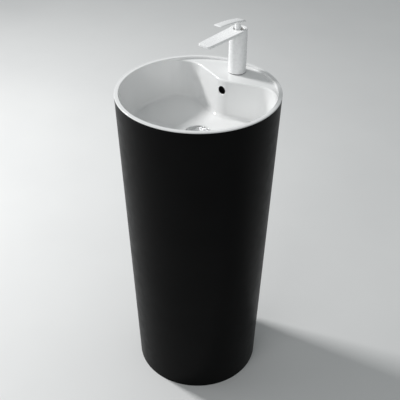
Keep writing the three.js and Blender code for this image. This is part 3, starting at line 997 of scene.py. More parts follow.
@dataclass
class Ware:
    """The white bowl and the black column it is set in."""

    height: float = read(highest, "basin_bowl", Axis.Z)
    top_radius: float = read(highest, "basin_bowl", Axis.X)
    base_radius: float = 169.5
    rim_inner: float = 190.0
    deck: float = 844.0
    deck_under: float = 832.0
    deck_edge: float = 4.5
    draft: float = 0.058
    nose: float = 91.0
    nose_draft: float = 0.05
    floor_edge: float = 743.0
    fillet: float = 11.0
    floor_drain: float = 735.0
    floor_under: float = 724.0
    skin: float = 4.2
    lip_height: float = 2.7
    lip_round: float = 1.5
    recess: tuple[float, float] = (33.0, 730.5)
    boss_radius: float = 37.0
    boss_under: float = read(lowest, "basin_bowl", Axis.Z)
    drain_radius: float = 22.5
    overflow: tuple[float, float, float] = (815.0, 10.5, 13.2)
    tap_hole_y: float = read(middle, "cartridge_nut", Axis.Y)
    tap_hole_radius: float = 17.5
    duct: tuple[float, float] = (93.0, 104.3)
    duct_half: float = 17.0
    casing: float = 5.0
    shell_top: float = read(highest, "pedestal_shell", Axis.Z)
    shell_wall: float = 5.0
    plan: WavePlan = field(default_factory=WavePlan)

    def outer_radius(self, z: float) -> float:
        """The column's radius at a height."""
        return self.base_radius + (self.top_radius - self.base_radius) * z / self.height

    def inset_radius(self, z: float) -> float:
        """The radius of the bowl where it drops into the column."""
        return self.outer_radius(z) - self.shell_wall - 0.6

    def wall_radius(self, z: float) -> float:
        """The radius of the bowl's round wall at a height."""
        return self.rim_inner - self.draft * (self.deck - z)

    def nose_at(self, z: float) -> float:
        """How far back the nose's tip is at a height."""
        return self.nose - self.nose_draft * (self.deck - z)

    @staticmethod
    def circle(like: Sequence[Vector], radius: float, z: float) -> list[Vector]:
        """A ring's points carried along their rays to a circle."""
        return [Vector((p.x, p.y, 0.0)).normalized() * radius + Vector((0.0, 0.0, z)) for p in like]

    @staticmethod
    def between(low: Sequence[Vector], high: Sequence[Vector], shares: Sequence[float]) -> list[list[Vector]]:
        """Rings part of the way from one to another."""
        return [[a.lerp(b, share) for a, b in zip(low, high)] for share in shares]

    def inside_rings(self) -> list[list[Vector]]:
        """The bowl's inside from the drain to the deck's front edge.

        Returns:
            The rings, from the drain up.
        """
        edge = self.plan.ring(
            self.wall_radius(self.floor_edge) - self.fillet, self.nose_at(self.floor_edge) - self.fillet,
            self.floor_edge, -self.fillet,
        )
        recess_radius, recess_z = self.recess
        rings = [
            self.circle(edge, self.drain_radius, recess_z),
            self.circle(edge, recess_radius - 0.3, recess_z),
            self.circle(edge, recess_radius, recess_z + 0.3),
        ]
        lip = [(0.0, -1.6), (0.25, -0.85), (0.75, -0.3), (1.5, 0.0)]
        rings += [self.circle(edge, recess_radius + out, self.floor_drain + up) for out, up in lip]
        rings += self.between(rings[-1], edge, [k / 26.0 for k in range(1, 26)])
        steps = 10
        for k in range(steps + 1):
            angle = math.pi / 2.0 * k / steps
            z = self.floor_edge + self.fillet * (1.0 - math.cos(angle))
            inset = self.fillet * (1.0 - math.sin(angle))
            rings.append(self.plan.ring(self.wall_radius(z) - inset, self.nose_at(z) - inset, z, -inset))
        low, high = self.floor_edge + self.fillet, self.deck - self.deck_edge
        for k in range(1, 25):
            z = low + (high - low) * k / 25.0
            rings.append(self.plan.ring(self.wall_radius(z), self.nose_at(z), z))
        for k in range(steps + 1):
            angle = math.pi / 2.0 * k / steps
            z = self.deck - self.deck_edge * (1.0 - math.sin(angle))
            back = self.deck_edge * (1.0 - math.cos(angle))
            rings.append(self.plan.ring(self.wall_radius(z), self.nose_at(z) + back, z))
        return rings

    def deck_rings(self, front: Sequence[Vector]) -> list[list[Vector]]:
        """The deck, the rim's inner wall and the lip.

        Args:
            front: the ring of the deck's front edge.

        Returns:
            The rings, from the front edge out to the lip's foot.
        """
        rim = self.circle(front, self.rim_inner, self.deck)
        widths = [(b - a).length for a, b in zip(front, rim)]
        blend = [min(2.0, 0.5 * width) for width in widths]
        start = [
            p.lerp(q, (width - turn) / width) if width > 1e-6 else q.copy()
            for p, q, width, turn in zip(front, rim, widths, blend)
        ]
        rings = self.between(front, start, [0.01, 0.04] + [k / 12.0 for k in range(1, 12)] + [0.99])
        for step in range(6):
            angle = math.pi / 2.0 * step / 5.0
            ring = []
            for q, turn in zip(rim, blend):
                flat = Vector((q.x, q.y, 0.0)).normalized() * (self.rim_inner - turn * (1.0 - math.sin(angle)))
                ring.append(flat + Vector((0.0, 0.0, self.deck + turn * (1.0 - math.cos(angle)))))
            rings.append(ring)
        inner_turn = 1.2
        for z in (self.deck + 3.0, self.height - inner_turn - 0.3):
            rings.append(self.circle(front, self.rim_inner, z))
        for step in range(6):
            angle = math.pi / 2.0 * step / 5.0
            radius = self.rim_inner + inner_turn * (1.0 - math.cos(angle))
            rings.append(self.circle(front, radius, self.height - inner_turn * (1.0 - math.sin(angle))))
        for radius in (self.rim_inner + inner_turn + 0.3, self.top_radius - self.lip_round - 0.3):
            rings.append(self.circle(front, radius, self.height))
        for step in range(8):
            angle = math.pi / 2.0 * step / 7.0
            radius = self.top_radius - self.lip_round * (1.0 - math.sin(angle))
            rings.append(self.circle(front, radius, self.height - self.lip_round * (1.0 - math.cos(angle))))
        foot = self.height - self.lip_height
        rings.append(self.circle(front, self.top_radius, foot + 0.3))
        rings.append(self.circle(front, self.top_radius - 0.3, foot))
        return rings

    def outside_rings(self, front: Sequence[Vector]) -> list[list[Vector]]:
        """The underside: the drop into the column, the deck's underside, the bowl's skin and the boss.

        Args:
            front: the ring of the deck's front edge.

        Returns:
            The rings, from the lip's foot down to the drain.
        """
        foot = self.height - self.lip_height
        rings = [
            self.circle(front, self.inset_radius(foot), foot),
            self.circle(front, self.inset_radius(self.deck_under), self.deck_under),
        ]

        def skin(z: float, grow: float) -> list[Vector]:
            """The bowl's outer skin at a height."""
            return self.plan.ring(self.wall_radius(z) + grow, self.nose_at(z) + grow, z, grow)

        rings += self.between(rings[-1], skin(self.deck_under, self.skin), [0.3, 0.6, 0.9, 1.0])
        for z in (820.0, 805.0, 790.0, 775.0, 760.0, 750.0, self.floor_edge):
            rings.append(skin(z, self.skin))
        drop = self.floor_edge - self.floor_under
        for step in range(1, 7):
            angle = math.pi / 2.0 * step / 6.0
            grow = self.skin - (self.skin + self.fillet) * (1.0 - math.cos(angle))
            rings.append(skin(self.floor_edge - drop * math.sin(angle), grow))
        boss_radius, boss_z = self.boss_radius, self.boss_under
        boss_top = self.circle(front, boss_radius, self.floor_under)
        rings += self.between(rings[-1], boss_top, [0.25, 0.5, 0.75, 1.0])
        rings.append(self.circle(front, boss_radius, boss_z + 1.0))
        rings.append(self.circle(front, boss_radius - 1.0, boss_z))
        rings.append(self.circle(front, self.drain_radius, boss_z))
        return rings

    def overflow_cutter(self) -> Solid:
        """A horizontal bore whose mouth opens like a trumpet into the nose.

        Returns:
            The cutter, in place.
        """
        z, bore, mouth = self.overflow
        depth = 2.6
        section = [(0.0, -3.0, 0.0), (mouth + 1.0, -3.0, 0.0), (mouth, -0.3, 0.0)]
        for step in range(1, 11):
            angle = math.pi / 2.0 * step / 10.0
            out = mouth - (mouth - bore) * math.sin(angle)
            section.append((out, -0.3 + depth * (1.0 - math.cos(angle)), 0.0))
        section += [(bore, 10.0, 0.0), (0.0, 10.0, 0.0)]
        return Solid.lathe(section, 96).along_y().at(y=self.nose_at(z), z=z)

    def duct_casing(self) -> Solid:
        """The upright casing round the duct. Its front follows the curve and the slope of the nose.

        Returns:
            The casing.
        """
        half, back = self.duct_half + self.casing, self.duct[1] + self.casing
        inside, steps = 2.2, 12
        rings = []
        for z in (716.0 - self.casing, self.deck_under + 2.0):
            centre, radius = self.nose_at(z) + self.plan.nose_radius, self.plan.nose_radius - inside
            plan = []
            for k in range(-steps, steps + 1):
                angle = self.plan.flank * k / steps
                plan.append((radius * math.sin(angle), centre - radius * math.cos(angle)))
            side = plan[-1][1] + (half - plan[-1][0]) * math.tan(self.plan.flank)
            plan += [(half, side), (half, back), (-half, back), (-half, side)]
            rings.append([Vector((x, y, z)) for x, y in plan])
        return Solid.loft(rings)

    def passage(self, grow: float, forward: float) -> Solid:
        """The level part of the duct, under the bowl's floor.

        Args:
            grow: how much larger than the passage's inside.
            forward: how far forward it reaches.

        Returns:
            The block.
        """
        half = self.duct_half + grow - 0.05
        return Solid.block(
            (-half, forward, 716.0 - grow), (half, self.duct[1] + grow - 0.05, 727.0 + grow), 2.0 + 0.6 * grow
        )

    def in_duct(self, place: Vector) -> bool:
        """Tells whether a face is inside the duct or its mouth, the faces that get the near-black painted shade.

        Args:
            place: the face's middle, in millimetres.

        Returns:
            True for the duct's own walls.
        """
        front, back = self.duct
        hole_z, hole_radius, _ = self.overflow
        in_shaft = front - 0.3 < place.y < back + 0.5 and abs(place.x) < self.duct_half + 0.3 and place.z < 827.0
        past_lip = self.nose_at(hole_z) + 2.1 < place.y < front + 0.5
        return in_shaft or (past_lip and math.hypot(place.x, place.z - hole_z) < hole_radius + 0.3)

    def bowl(self) -> Solid:
        """The white bowl.

        Returns:
            The bowl with its holes cut.
        """
        inside = self.inside_rings()
        front = inside[-1]
        body = Solid.loft(inside + self.deck_rings(front) + self.outside_rings(front), closed=True)
        body = body.combined(self.duct_casing(), self.passage(self.casing, 20.0), operation="UNION")
        hole_z, hole_radius, _ = self.overflow
        drain = Solid.lathe(rod_profile(self.drain_radius, 700.0, 733.0, 0.0), 96)
        tap = Solid.lathe(rod_profile(self.tap_hole_radius, 825.0, 850.0, 0.0), 72).at(y=self.tap_hole_y)
        half = self.duct_half
        shaft = Solid.block((-half, self.duct[0], 716.0), (half, self.duct[1], hole_z + hole_radius), 2.0)
        return body.combined(drain, shaft, self.passage(0.0, 18.0), self.overflow_cutter(), tap)

    def column(self, shop: Workshop) -> Solid:
        """The black column.

        Args:
            shop: the workshop, which holds the column's recipe.

        Returns:
            The column with its pads and bolt holes.
        """
        tube = shop.recipes.column.run(
            BLACK_GLAZE, Sides=320, Base=self.base_radius, Top=self.outer_radius(self.shell_top),
            Height=self.shell_top, Wall=self.shell_wall, Foot=158.0, Foot_Height=12.0, Notch_Half_Width=70.0,
            Notch_Springing=540.0,
        )
        pads = [Solid.block((152.0, -22.0, 4.0), (167.0, 22.0, 58.0), 2.0).half_turned(t) for t in (False, True)]
        bores = [
            Solid.lathe(rod_profile(3.3, 147.0, 163.0, 0.0), 48).along_x(36.0).half_turned(t)
            for t in (False, True)
        ]
        return tube.combined(*pads, operation="UNION").combined(*bores)

    def build(self, shop: Workshop) -> None:
        """Makes and dresses the bowl and the column."""
        # The duct's inside faces get the painted shade that stands for the dark of the hole.
        shop.place(self.bowl(), "basin_bowl", WHITE_GLAZE, "bowl_ware", crease=32.0, in_painted_shade=self.in_duct)
        shop.place(self.column(shop), "pedestal_shell", BLACK_GLAZE, "column_ware", crease=32.0)


# ---------------------------------------------------------------- floor fixings
@dataclass
class FloorFixings:
    """The two angle brackets and their bolts, inside the column's foot."""

    face: float = read(highest, "floor_bracket_right", Axis.X)
    thickness: float = 3.0
    leg: float = 38.0
    height: float = read(highest, "floor_bracket_right", Axis.Z)
    half_width: float = read(highest, "floor_bracket_right", Axis.Y)
    bolt_height: float = read(middle, "bracket_bolt_right", Axis.Z)

    def bracket(self) -> Solid:
        """A bent steel angle with a hole in each leg.

        Returns:
            The bracket on the +X side.
        """
        face, thick, leg, tall, half = self.face, self.thickness, self.leg, self.height, self.half_width
        section = rounded([
            (face - leg, 0.0, 0.5), (face, 0.0, 5.0), (face, tall, 0.5), (face - thick, tall, 0.5),
            (face - thick, thick, 2.5), (face - leg, thick, 0.5),
        ])
        rings = [[Vector((x, y, z)) for x, z in section] for y in (-half, half)]
        angle = Solid.loft(rings)
        floor_hole = Solid.lathe(rod_profile(4.5, -5.0, 10.0, 0.0), 48).at(x=face - 21.0)
        bolt_hole = Solid.lathe(rod_profile(3.5, face - 8.0, face + 4.0, 0.0), 48).along_x(self.bolt_height)
        trims = []
        for side in (-1.0, 1.0):
            turn = Matrix.Rotation(math.radians(45.0), 4, "Z")
            corner = Solid.block((-9.0, -9.0, -1.0), (9.0, 9.0, 9.0)).moved(turn)
            trims.append(corner.at(x=face - leg - 5.0, y=side * (half + 5.0)))
        return angle.combined(floor_hole, bolt_hole, *trims)

    def bolt(self, shop: Workshop) -> Solid:
        """A hexagon-headed bolt lying along +X.

        Args:
            shop: the workshop, which makes its thread.

        Returns:
            The bolt on the +X side.
        """
        head = self.face - self.thickness - 0.3
        hexagon = Solid.hexagon(5.8, head - 4.0, head)
        shank = Solid.lathe(rod_profile(2.45, head - 0.5, head + 13.0, 0.5), 48)
        ridge = shop.thread(2.8, head + 0.6, head + 12.6, 1.0, STEEL)
        return hexagon.with_(shank, ridge).along_x(self.bolt_height)

    def build(self, shop: Workshop) -> None:
        """Makes and dresses both sides.

        Args:
            shop: where pieces are placed.
        """
        for side, turned in (("right", False), ("left", True)):
            shop.place(self.bracket().half_turned(turned), f"floor_bracket_{side}", STEEL)
            shop.place(self.bolt(shop).half_turned(turned), f"bracket_bolt_{side}", STEEL)


# ---------------------------------------------------------------- the mixer
@dataclass
class Mixer:
    """The single-lever tap: casting, cartridge, lever, aerator and fixings under the deck."""

    y: float = read(middle, "cartridge_nut", Axis.Y)
    radius: float = read(highest, "tap_body", Axis.X)
    base: float = read(lowest, "tap_body", Axis.Z)
    top: float = read(highest, "tap_body", Axis.Z)
    bore: float = 17.6
    seat: float = 906.0
    cap_inner: float = 14.0
    spout_half: tuple[float, float] = (17.0, 21.0)
    spout_tip: float = read(lowest, "tap_body", Axis.Y)
    spout_corner: float = 6.0
    spout_thickness: float = 8.0
    spout_edges: tuple[float, float] = (2.6, 0.9)
    aerator_y: float = read(middle, "aerator_insert", Axis.Y)
    stem_y: float = read(middle, "cartridge_stem", Axis.Y)
    pivot: float = read(middle, "rotor_pin", Axis.Z)
    lever_front: float = read(lowest, "lever_handle", Axis.Y)
    lever_back: float = read(highest, "lever_handle", Axis.Y)
    lever_crest: float = read(highest, "lever_handle", Axis.Z, -0.3)
    lever_half: float = 12.0
    lever_thickness: float = 5.0
    neck_radius: float = 7.5
    stud_y: float = read(middle, "tap_stud", Axis.Y)
    stud_radius: float = 4.0
    inlet_x: float = read(middle, "inlet_tail_cold", Axis.X)
    inlet_y: float = read(middle, "inlet_tail_cold", Axis.Y)
    inlet_radius: float = 5.4

    @property
    def underside(self) -> float:
        """The height of the spout's underside."""
        return self.top - self.spout_thickness

    def on_axis(self, profile: Sequence[Corner], sides: int = FINE) -> Solid:
        """A piece turned on the tap's axis."""
        return Solid.lathe(profile, sides).at(y=self.y)

    def spout(self) -> Solid:
        """The flat spout: it widens to the column, and its lower edges are rounder than its upper ones.

        Returns:
            The spout, reaching back into the column.
        """
        under, over = self.spout_edges
        steps = 6
        turns = [math.pi / 2.0 * k / steps for k in range(steps + 1)]
        levels = [(under * (1.0 - math.sin(a)), self.underside + under * (1.0 - math.cos(a))) for a in turns]
        levels += [(over * (1.0 - math.cos(a)), self.top - over * (1.0 - math.sin(a))) for a in turns]
        rings = []
        for inset, z in levels:
            tip_half, root_half = (half - inset for half in self.spout_half)
            tip, corner = self.spout_tip + inset, self.spout_corner - inset
            plan = rounded([
                (-root_half, self.y, 0.0), (-tip_half, tip, corner), (tip_half, tip, corner),
                (root_half, self.y, 0.0),
            ], 14)
            rings.append([Vector((x, y, z)) for x, y in plan])
        return Solid.loft(rings)

    def casting(self) -> Solid:
        """The column and spout as one casting, bored for the cartridge and the waterways.

        Returns:
            The casting.
        """
        column = self.on_axis(
            [(0.0, self.base, 0.0), (self.radius, self.base, 0.8),
             (self.radius, self.top, 1.1), (0.0, self.top, 0.0)],
            128,
        )
        body = column.combined(self.spout(), operation="UNION")
        front = self.y - self.bore
        tools = [
            self.on_axis(rod_profile(self.bore, self.seat, self.top + 5.0, 0.0)),
            Solid.block((-5.0, front - 2.6, self.seat + 14.0), (5.0, front + 3.0, self.top - 2.5)),
            Solid.block((-8.0, self.aerator_y - 6.0, self.underside + 2.0), (8.0, front + 0.5, self.top - 2.6)),
            Solid.lathe(rod_profile(8.6, self.underside - 5.0, self.underside + 5.0, 0.0), 72).at(y=self.aerator_y),
            Solid.lathe(
                rod_profile(self.stud_radius + 0.3, self.base - 5.0, self.base + 18.0, 0.0), 48
            ).at(y=self.stud_y),
        ]
        x, y, radius = self.inlet_x, self.inlet_y, self.inlet_radius
        for side in (-1.0, 1.0):
            tools.append(
                Solid.lathe(rod_profile(radius + 0.3, self.base - 5.0, self.base + 14.0, 0.0), 48).at(side * x, y)
            )
            tools.append(Solid.lathe(rod_profile(3.0, self.base + 8.0, self.seat + 5.0, 0.0), 32).at(side * x, y))
        return body.combined(*tools)

    def lever_top(self, y: float) -> float:
        """The height of the blade's upper face: a long arc that rolls down at the back.

        Args:
            y: place along the lever, in millimetres.

        Returns:
            The height, in millimetres.
        """
        arc = self.lever_crest - (y - self.lever_front + 15.0) ** 2 / 1000.0
        roll = self.lever_back - 18.0
        return arc if y < roll else arc - (y - roll) ** 2 / 75.0

    def lever_half_width(self, y: float) -> float:
        """The blade's half width: almost parallel, then drawn in to a round back end.

        Args:
            y: place along the lever, in millimetres.

        Returns:
            Half the width there, in millimetres.
        """
        start = self.lever_back - self.lever_half * 1.4
        share = max(0.0, (y - start) / (self.lever_back - start))
        taper = 0.93 + 0.07 * (y - self.lever_front) / 100.0
        return self.lever_half * math.sqrt(max(0.004, 1.0 - share * share)) * taper

    def blade(self) -> Solid:
        """The arched blade: a wedge, crowned on top and rounded along its edges.

        Returns:
            The blade.
        """
        rings = []
        steps = 84
        for k in range(steps + 1):
            share = k / steps
            share = 0.45 * share + 0.55 * math.sin(share * math.pi / 2.0)
            y = self.lever_front + (self.lever_back - self.lever_front) * share
            half = self.lever_half_width(y)
            from_front = min(1.0, (y - self.lever_front) / 1.6)
            soft = math.sqrt(max(0.0, 1.0 - (1.0 - from_front) ** 2))
            from_back = min(1.0, (self.lever_back - y) / 4.0)
            soft *= math.sqrt(max(0.02, 1.0 - (1.0 - from_back) ** 2))
            thick = self.lever_thickness * (0.45 + 0.5 * share)
            middle_z = self.lever_top(y) - thick / 2.0
            ring = []
            for step in range(32):
                angle = 2.0 * math.pi * step / 32.0
                c, s = math.cos(angle), math.sin(angle)
                across = math.copysign(abs(c) ** 0.42, c)
                up = math.copysign(abs(s) ** 0.7, s)
                x = (half - 0.8 * (1.0 - soft)) * across
                crown = 0.5 * (1.0 - across * across) if s > 0.0 else 0.0
                ring.append(Vector((x, y, middle_z + (thick / 2.0 * up + crown) * (0.12 + 0.88 * soft))))
            rings.append(ring)
        return Solid.loft(rings)

    def lever(self) -> Solid:
        """The blade with its slim neck, which flares into it.

        Returns:
            The lever, socketed for the cartridge's stem.
        """
        low = lowest("lever_handle", Axis.Z)
        head = self.lever_top(self.stem_y) - 1.7
        neck = Solid.lathe(
            [(0.0, low, 0.0), (self.neck_radius, low, 0.8), (self.neck_radius, head - 8.0, 6.0),
             (self.neck_radius + 3.0, head - 2.6, 1.2), (self.neck_radius + 3.0, head - 1.0, 0.6),
             (0.0, head, 0.0)],
            72, 10,
        ).at(y=self.stem_y)
        socket = Solid.block((-4.3, self.stem_y - 4.3, low - 5.0), (4.3, self.stem_y + 4.3, low + 12.5), 0.5)
        hole = Solid.lathe(rod_profile(1.9, 0.0, 12.0, 0.0), 32).along_y().at(y=self.stem_y, z=low + 6.5)
        return self.blade().combined(neck, operation="UNION").combined(socket, hole)

    def horseshoe(self, low: float, high: float) -> Solid:
        """A clamping washer that is open at the back, to slip past the inlets.

        Args:
            low: height of the lower face.
            high: height of the upper face.

        Returns:
            The washer.
        """
        disc = self.on_axis(rod_profile(24.0, low, high, 0.4))
        gap = Solid.block((-16.0, self.y - 1.0, low - 1.0), (16.0, self.y + 40.0, high + 1.0), 3.0)
        hole = Solid.lathe(rod_profile(self.stud_radius + 0.4, low - 1.0, high + 1.0, 0.0), 48).at(y=self.stud_y)
        return disc.combined(gap, hole)

    def tail(self, shop: Workshop, side: float) -> Solid:
        """One brass inlet tail.

        Args:
            shop: the workshop, which makes its threads.
            side: -1 for hot, 1 for cold.

        Returns:
            The tail.
        """
        tube = Solid.lathe(
            [(2.8, 798.0, 0.3), (4.4, 798.0, 0.4), (4.4, 812.5, 0.0), (5.0, 813.0, 0.0), (5.0, 857.6, 0.5),
             (2.8, 857.6, 0.3)], 64,
        )
        nut = Solid.hexagon(7.6, 812.0, 822.5).combined(Solid.lathe(rod_profile(2.8, 800.0, 830.0, 0.0), 48))
        threads = [
            shop.thread(4.8, 799.0, 811.6, 1.2, BRASS),
            shop.thread(self.inlet_radius, 846.5, 857.0, 1.2, BRASS),
        ]
        return tube.with_(nut, *threads).at(side * self.inlet_x, self.inlet_y)

    def aerator(self, shop: Workshop) -> None:
        """Makes the aerator's sleeve and its honeycomb.

        Args:
            shop: the workshop.
        """
        low = self.underside - 5.0
        sleeve = Solid.lathe(
            [(7.0, low, 0.4), (10.0, low, 0.8), (10.0, self.underside - 0.3, 0.3),
             (8.3, self.underside - 0.3, 0.0),
             (8.3, self.underside + 4.0, 0.3), (7.0, self.underside + 4.0, 0.3)], 72,
        )
        shop.place(sleeve.at(y=self.aerator_y), "aerator_housing", WHITE_ENAMEL, crease=50.0)
        disc = Solid.lathe(
            [(0.0, low + 2.6, 0.0), (5.9, low + 2.6, 0.0), (5.9, low + 1.1, 0.0), (6.7, low + 1.1, 0.2),
             (6.7, self.underside + 3.0, 0.2), (0.0, self.underside + 3.0, 0.0)], 64,
        )
        sieve = shop.recipes.honeycomb.run(PLASTIC, Radius=6.6, Cell=1.35, Wire=0.16).at(z=low + 2.3)
        shop.place(disc.with_(sieve).at(y=self.aerator_y), "aerator_insert", PLASTIC)

    def cartridge(self, shop: Workshop) -> None:
        """Makes the cartridge and the two movements inside it.

        Args:
            shop: the workshop.
        """
        low, top, inner = self.top - 4.4, self.top, self.cap_inner
        cap = [(inner, low, 0.2), (17.3, low, 0.2), (17.3, top, 0.3), (inner, top, 0.9)]
        shop.place(self.on_axis(cap), "cartridge_cap", WHITE_ENAMEL)
        nut = self.on_axis(ring_profile(13.6, 17.2, 940.4, 947.0, 0.4))
        slots = [Solid.block((-1.5, 12.0, 944.5), (1.5, 19.0, 948.0)).moved(
            Matrix.Rotation(math.pi / 3.0 * k, 4, "Z")).at(y=self.y) for k in range(6)]
        shop.place(nut.combined(*slots), "cartridge_nut", PLASTIC)
        housing = self.on_axis([
            (0.0, 906.3, 0.0), (14.0, 906.3, 0.8), (14.0, 935.0, 0.0), (17.2, 935.5, 0.4), (17.2, 940.0, 0.4),
            (13.0, 940.0, 0.3), (13.0, 925.0, 0.0), (0.0, 925.0, 0.0)])
        x, y = self.inlet_x, self.inlet_y
        ports = [Solid.lathe(rod_profile(2.6, 904.0, 914.0, 0.0), 32).at(px, py)
                 for px, py in ((-x, y), (x, y), (0.0, self.y - 8.0))]
        shop.place(housing.combined(*ports), "cartridge_housing", PLASTIC)
        rotor = self.on_axis(rod_profile(12.6, 925.4, 944.0, 0.5))
        slot = Solid.block((-4.4, self.stem_y - 6.5, 924.0), (4.4, self.stem_y + 9.0, 950.0), 0.8)
        pin_hole = Solid.lathe(rod_profile(1.7, -15.0, 15.0, 0.0), 32).along_x(self.pivot).at(y=self.stem_y)
        shop.place(rotor.combined(slot, pin_hole), "cartridge_rotor", PLASTIC)
        pin = Solid.lathe(rod_profile(1.5, -11.5, 11.5, 0.2), 40).along_x(self.pivot).at(y=self.stem_y)
        shop.place(pin, "rotor_pin", STEEL)
        stem = Solid.block((-4.0, self.stem_y - 4.0, 929.5), (4.0, self.stem_y + 4.0, 962.0), 0.6)
        bore = Solid.lathe(rod_profile(1.8, -10.0, 10.0, 0.0), 32).along_x(self.pivot).at(y=self.stem_y)
        shop.place(stem.combined(bore), "cartridge_stem", BRASS)

    def fixings(self, shop: Workshop) -> None:
        """Makes the seal, stud, clamp and inlet tails.

        Args:
            shop: the workshop.
        """
        shop.place(self.on_axis(ring_profile(18.2, 21.6, 844.3, 845.3, 0.3)), "tap_base_seal", RUBBER)
        stud = Solid.lathe(rod_profile(self.stud_radius - 0.45, 800.0, 861.6, 0.6), 48)
        ridge = shop.thread(self.stud_radius, 800.8, 860.8, 1.25, STEEL)
        shop.place(stud.with_(ridge).at(y=self.stud_y), "tap_stud", STEEL)
        shop.place(self.horseshoe(828.6, 831.7), "clamp_rubber", RUBBER)
        shop.place(self.horseshoe(826.0, 828.3), "clamp_plate", STEEL)
        nut = Solid.hexagon(7.5, 819.0, 825.7).combined(
            Solid.lathe(rod_profile(self.stud_radius + 0.3, 815.0, 830.0, 0.0), 48))
        shop.place(nut.at(y=self.stud_y), "clamp_nut", BRASS)
        shop.place(self.tail(shop, -1.0), "inlet_tail_hot", BRASS)
        shop.place(self.tail(shop, 1.0), "inlet_tail_cold", BRASS)

    def build(self, shop: Workshop) -> None:
        """Makes and dresses the whole tap.

        Args:
            shop: where pieces are placed.
        """
        shop.place(self.casting(), "tap_body", WHITE_ENAMEL, "mixer_casting", crease=40.0)
        shop.place(self.lever(), "lever_handle", WHITE_ENAMEL, "mixer_lever", crease=45.0)
        screw = Solid.lathe(rod_profile(1.6, 4.4, 6.8, 0.2), 32).combined(
            Solid.hexagon(0.85, 5.6, 8.0, 0.0))
        screw_z = middle("lever_grub_screw", Axis.Z)
        shop.place(screw.along_y().at(y=self.stem_y, z=screw_z), "lever_grub_screw", STEEL)
        self.cartridge(shop)
        self.aerator(shop)
        self.fixings(shop)


# ---------------------------------------------------------------- the waste
@dataclass
class Waste:
    """The push-button waste in the drain hole."""

    seat: float = read(highest, "waste_body", Axis.Z, -2.2)
    flange_radius: float = 31.8
    flange_thickness: float = 2.2
    tube_outer: float = 20.5
    tube_inner: float = 17.2
    tube_end: float = read(lowest, "waste_body", Axis.Z)
    spider: float = 700.0
    plug_radius: float = read(highest, "plug_cap", Axis.X)
    plug_under: float = read(highest, "plug_cap", Axis.Z, -5.0)
    plug_height: float = 5.0

    def body(self, shop: Workshop) -> Solid:
        """The flange and the threaded tube, with overflow slots and the spider that holds the latch.

        Args:
            shop: the workshop, which makes the thread.

        Returns:
            The waste's body.
        """
        z, top = self.seat, self.seat + self.flange_thickness
        shank = self.tube_outer - 0.55
        tube = Solid.lathe([
            (self.tube_inner, self.tube_end, 0.3), (shank, self.tube_end, 0.5), (shank, 713.0, 0.0),
            (self.tube_outer, 714.0, 0.0), (self.tube_outer, z - 1.5, 0.0), (self.tube_outer + 2.0, z, 0.3),
            (self.flange_radius - 1.0, z, 0.4), (self.flange_radius, z + 1.0, 0.6),
            (self.flange_radius - 0.4, top, 0.8), (27.0, top, 0.8), (20.5, z + 0.7, 1.5),
            (self.tube_inner, z - 3.0, 1.0),
        ], 128)
        slots = [
            Solid.block((-8.0, -30.0, 717.0), (8.0, 30.0, 725.0)),
            Solid.block((-30.0, -8.0, 717.0), (30.0, 8.0, 725.0)),
        ]
        reach = self.tube_inner + 1.0
        arms = [
            Solid.block((-reach, -1.5, self.spider - 4.0), (reach, 1.5, self.spider)),
            Solid.block((-1.5, -reach, self.spider - 4.0), (1.5, reach, self.spider)),
            Solid.lathe(rod_profile(9.5, self.spider - 4.0, self.spider, 0.4), 64),
        ]
        hub_bore = Solid.lathe(rod_profile(6.3, self.spider - 10.0, self.spider + 5.0, 0.0), 48)
        body = tube.combined(*slots).combined(*arms, operation="UNION").combined(hub_bore)
        return body.with_(shop.thread(self.tube_outer, self.tube_end + 1.0, 712.5, 2.0, CHROME))

    def back_nut(self, shop: Workshop) -> Solid:
        """The brass nut under the bowl, with grip lugs."""
        ring = Solid.lathe(ring_profile(21.2, 29.0, 692.0, 705.0, 0.8))
        return ring.with_(shop.grips(29.5, 8, (3.6, 6.0, 11.0), 692.3, BRASS))

    def cap(self) -> Solid:
        """The domed cap, with a short boss below.

        Returns:
            The cap.
        """
        radius, under, height = self.plug_radius, self.plug_under, self.plug_height
        section: list[Corner] = [
            (0.0, under - 3.0, 0.0), (5.0, under - 3.0, 0.3), (5.0, under, 0.3), (radius - 0.8, under, 0.3),
            (radius, under + 0.16 * height, 0.0)]
        steps = 18
        for k in range(steps + 1):
            angle = math.pi / 2.0 * k / steps
            share = math.sin(angle) ** 0.9
            section.append((radius * math.cos(angle) ** 0.62 if k < steps else 0.0,
                            under + height * (0.30 + 0.70 * share), 0.0))
        return Solid.lathe(section, 128)

    def build(self, shop: Workshop) -> None:
        """Makes and dresses the waste.

        Args:
            shop: where pieces are placed.
        """
        shop.place(self.body(shop), "waste_body", CHROME)
        shop.place(Solid.lathe(ring_profile(24.0, 31.0, 730.8, 731.6, 0.3)), "waste_flange_seal", RUBBER)
        shop.place(Solid.lathe([(21.0, 705.3, 0.4), (33.0, 705.3, 1.2), (33.0, 710.7, 0.6), (21.0, 710.7, 0.4)]),
                   "waste_back_seal", RUBBER)
        shop.place(self.back_nut(shop), "waste_back_nut", BRASS)
        latch = [(3.3, 678.0, 0.2), (6.0, 678.0, 0.4), (6.0, 700.3, 0.0), (8.4, 700.3, 0.3), (8.4, 702.5, 0.3),
                 (3.3, 702.5, 0.2)]
        shop.place(Solid.lathe(latch, 64), "click_latch", PLASTIC)
        shop.place(self.cap(), "plug_cap", SATIN_CHROME, "plug_dome", crease=60.0)
        shop.place(Solid.lathe(ring_profile(17.5, 20.3, 732.9, 734.1, 0.4)), "plug_seal", RUBBER)
        shop.place(Solid.lathe(rod_profile(2.9, 684.0, 731.1, 0.6), 48), "plug_spindle", BRASS)
        coil = shop.recipes.helix.run(STEEL, Radius=6.2, Length=26.8, Turns=5.0, Wire=0.6, Sides=12)
        shop.place(coil.at(z=703.5), "plug_spring", STEEL, spans=("basin", "plug", 702.9, 730.9))


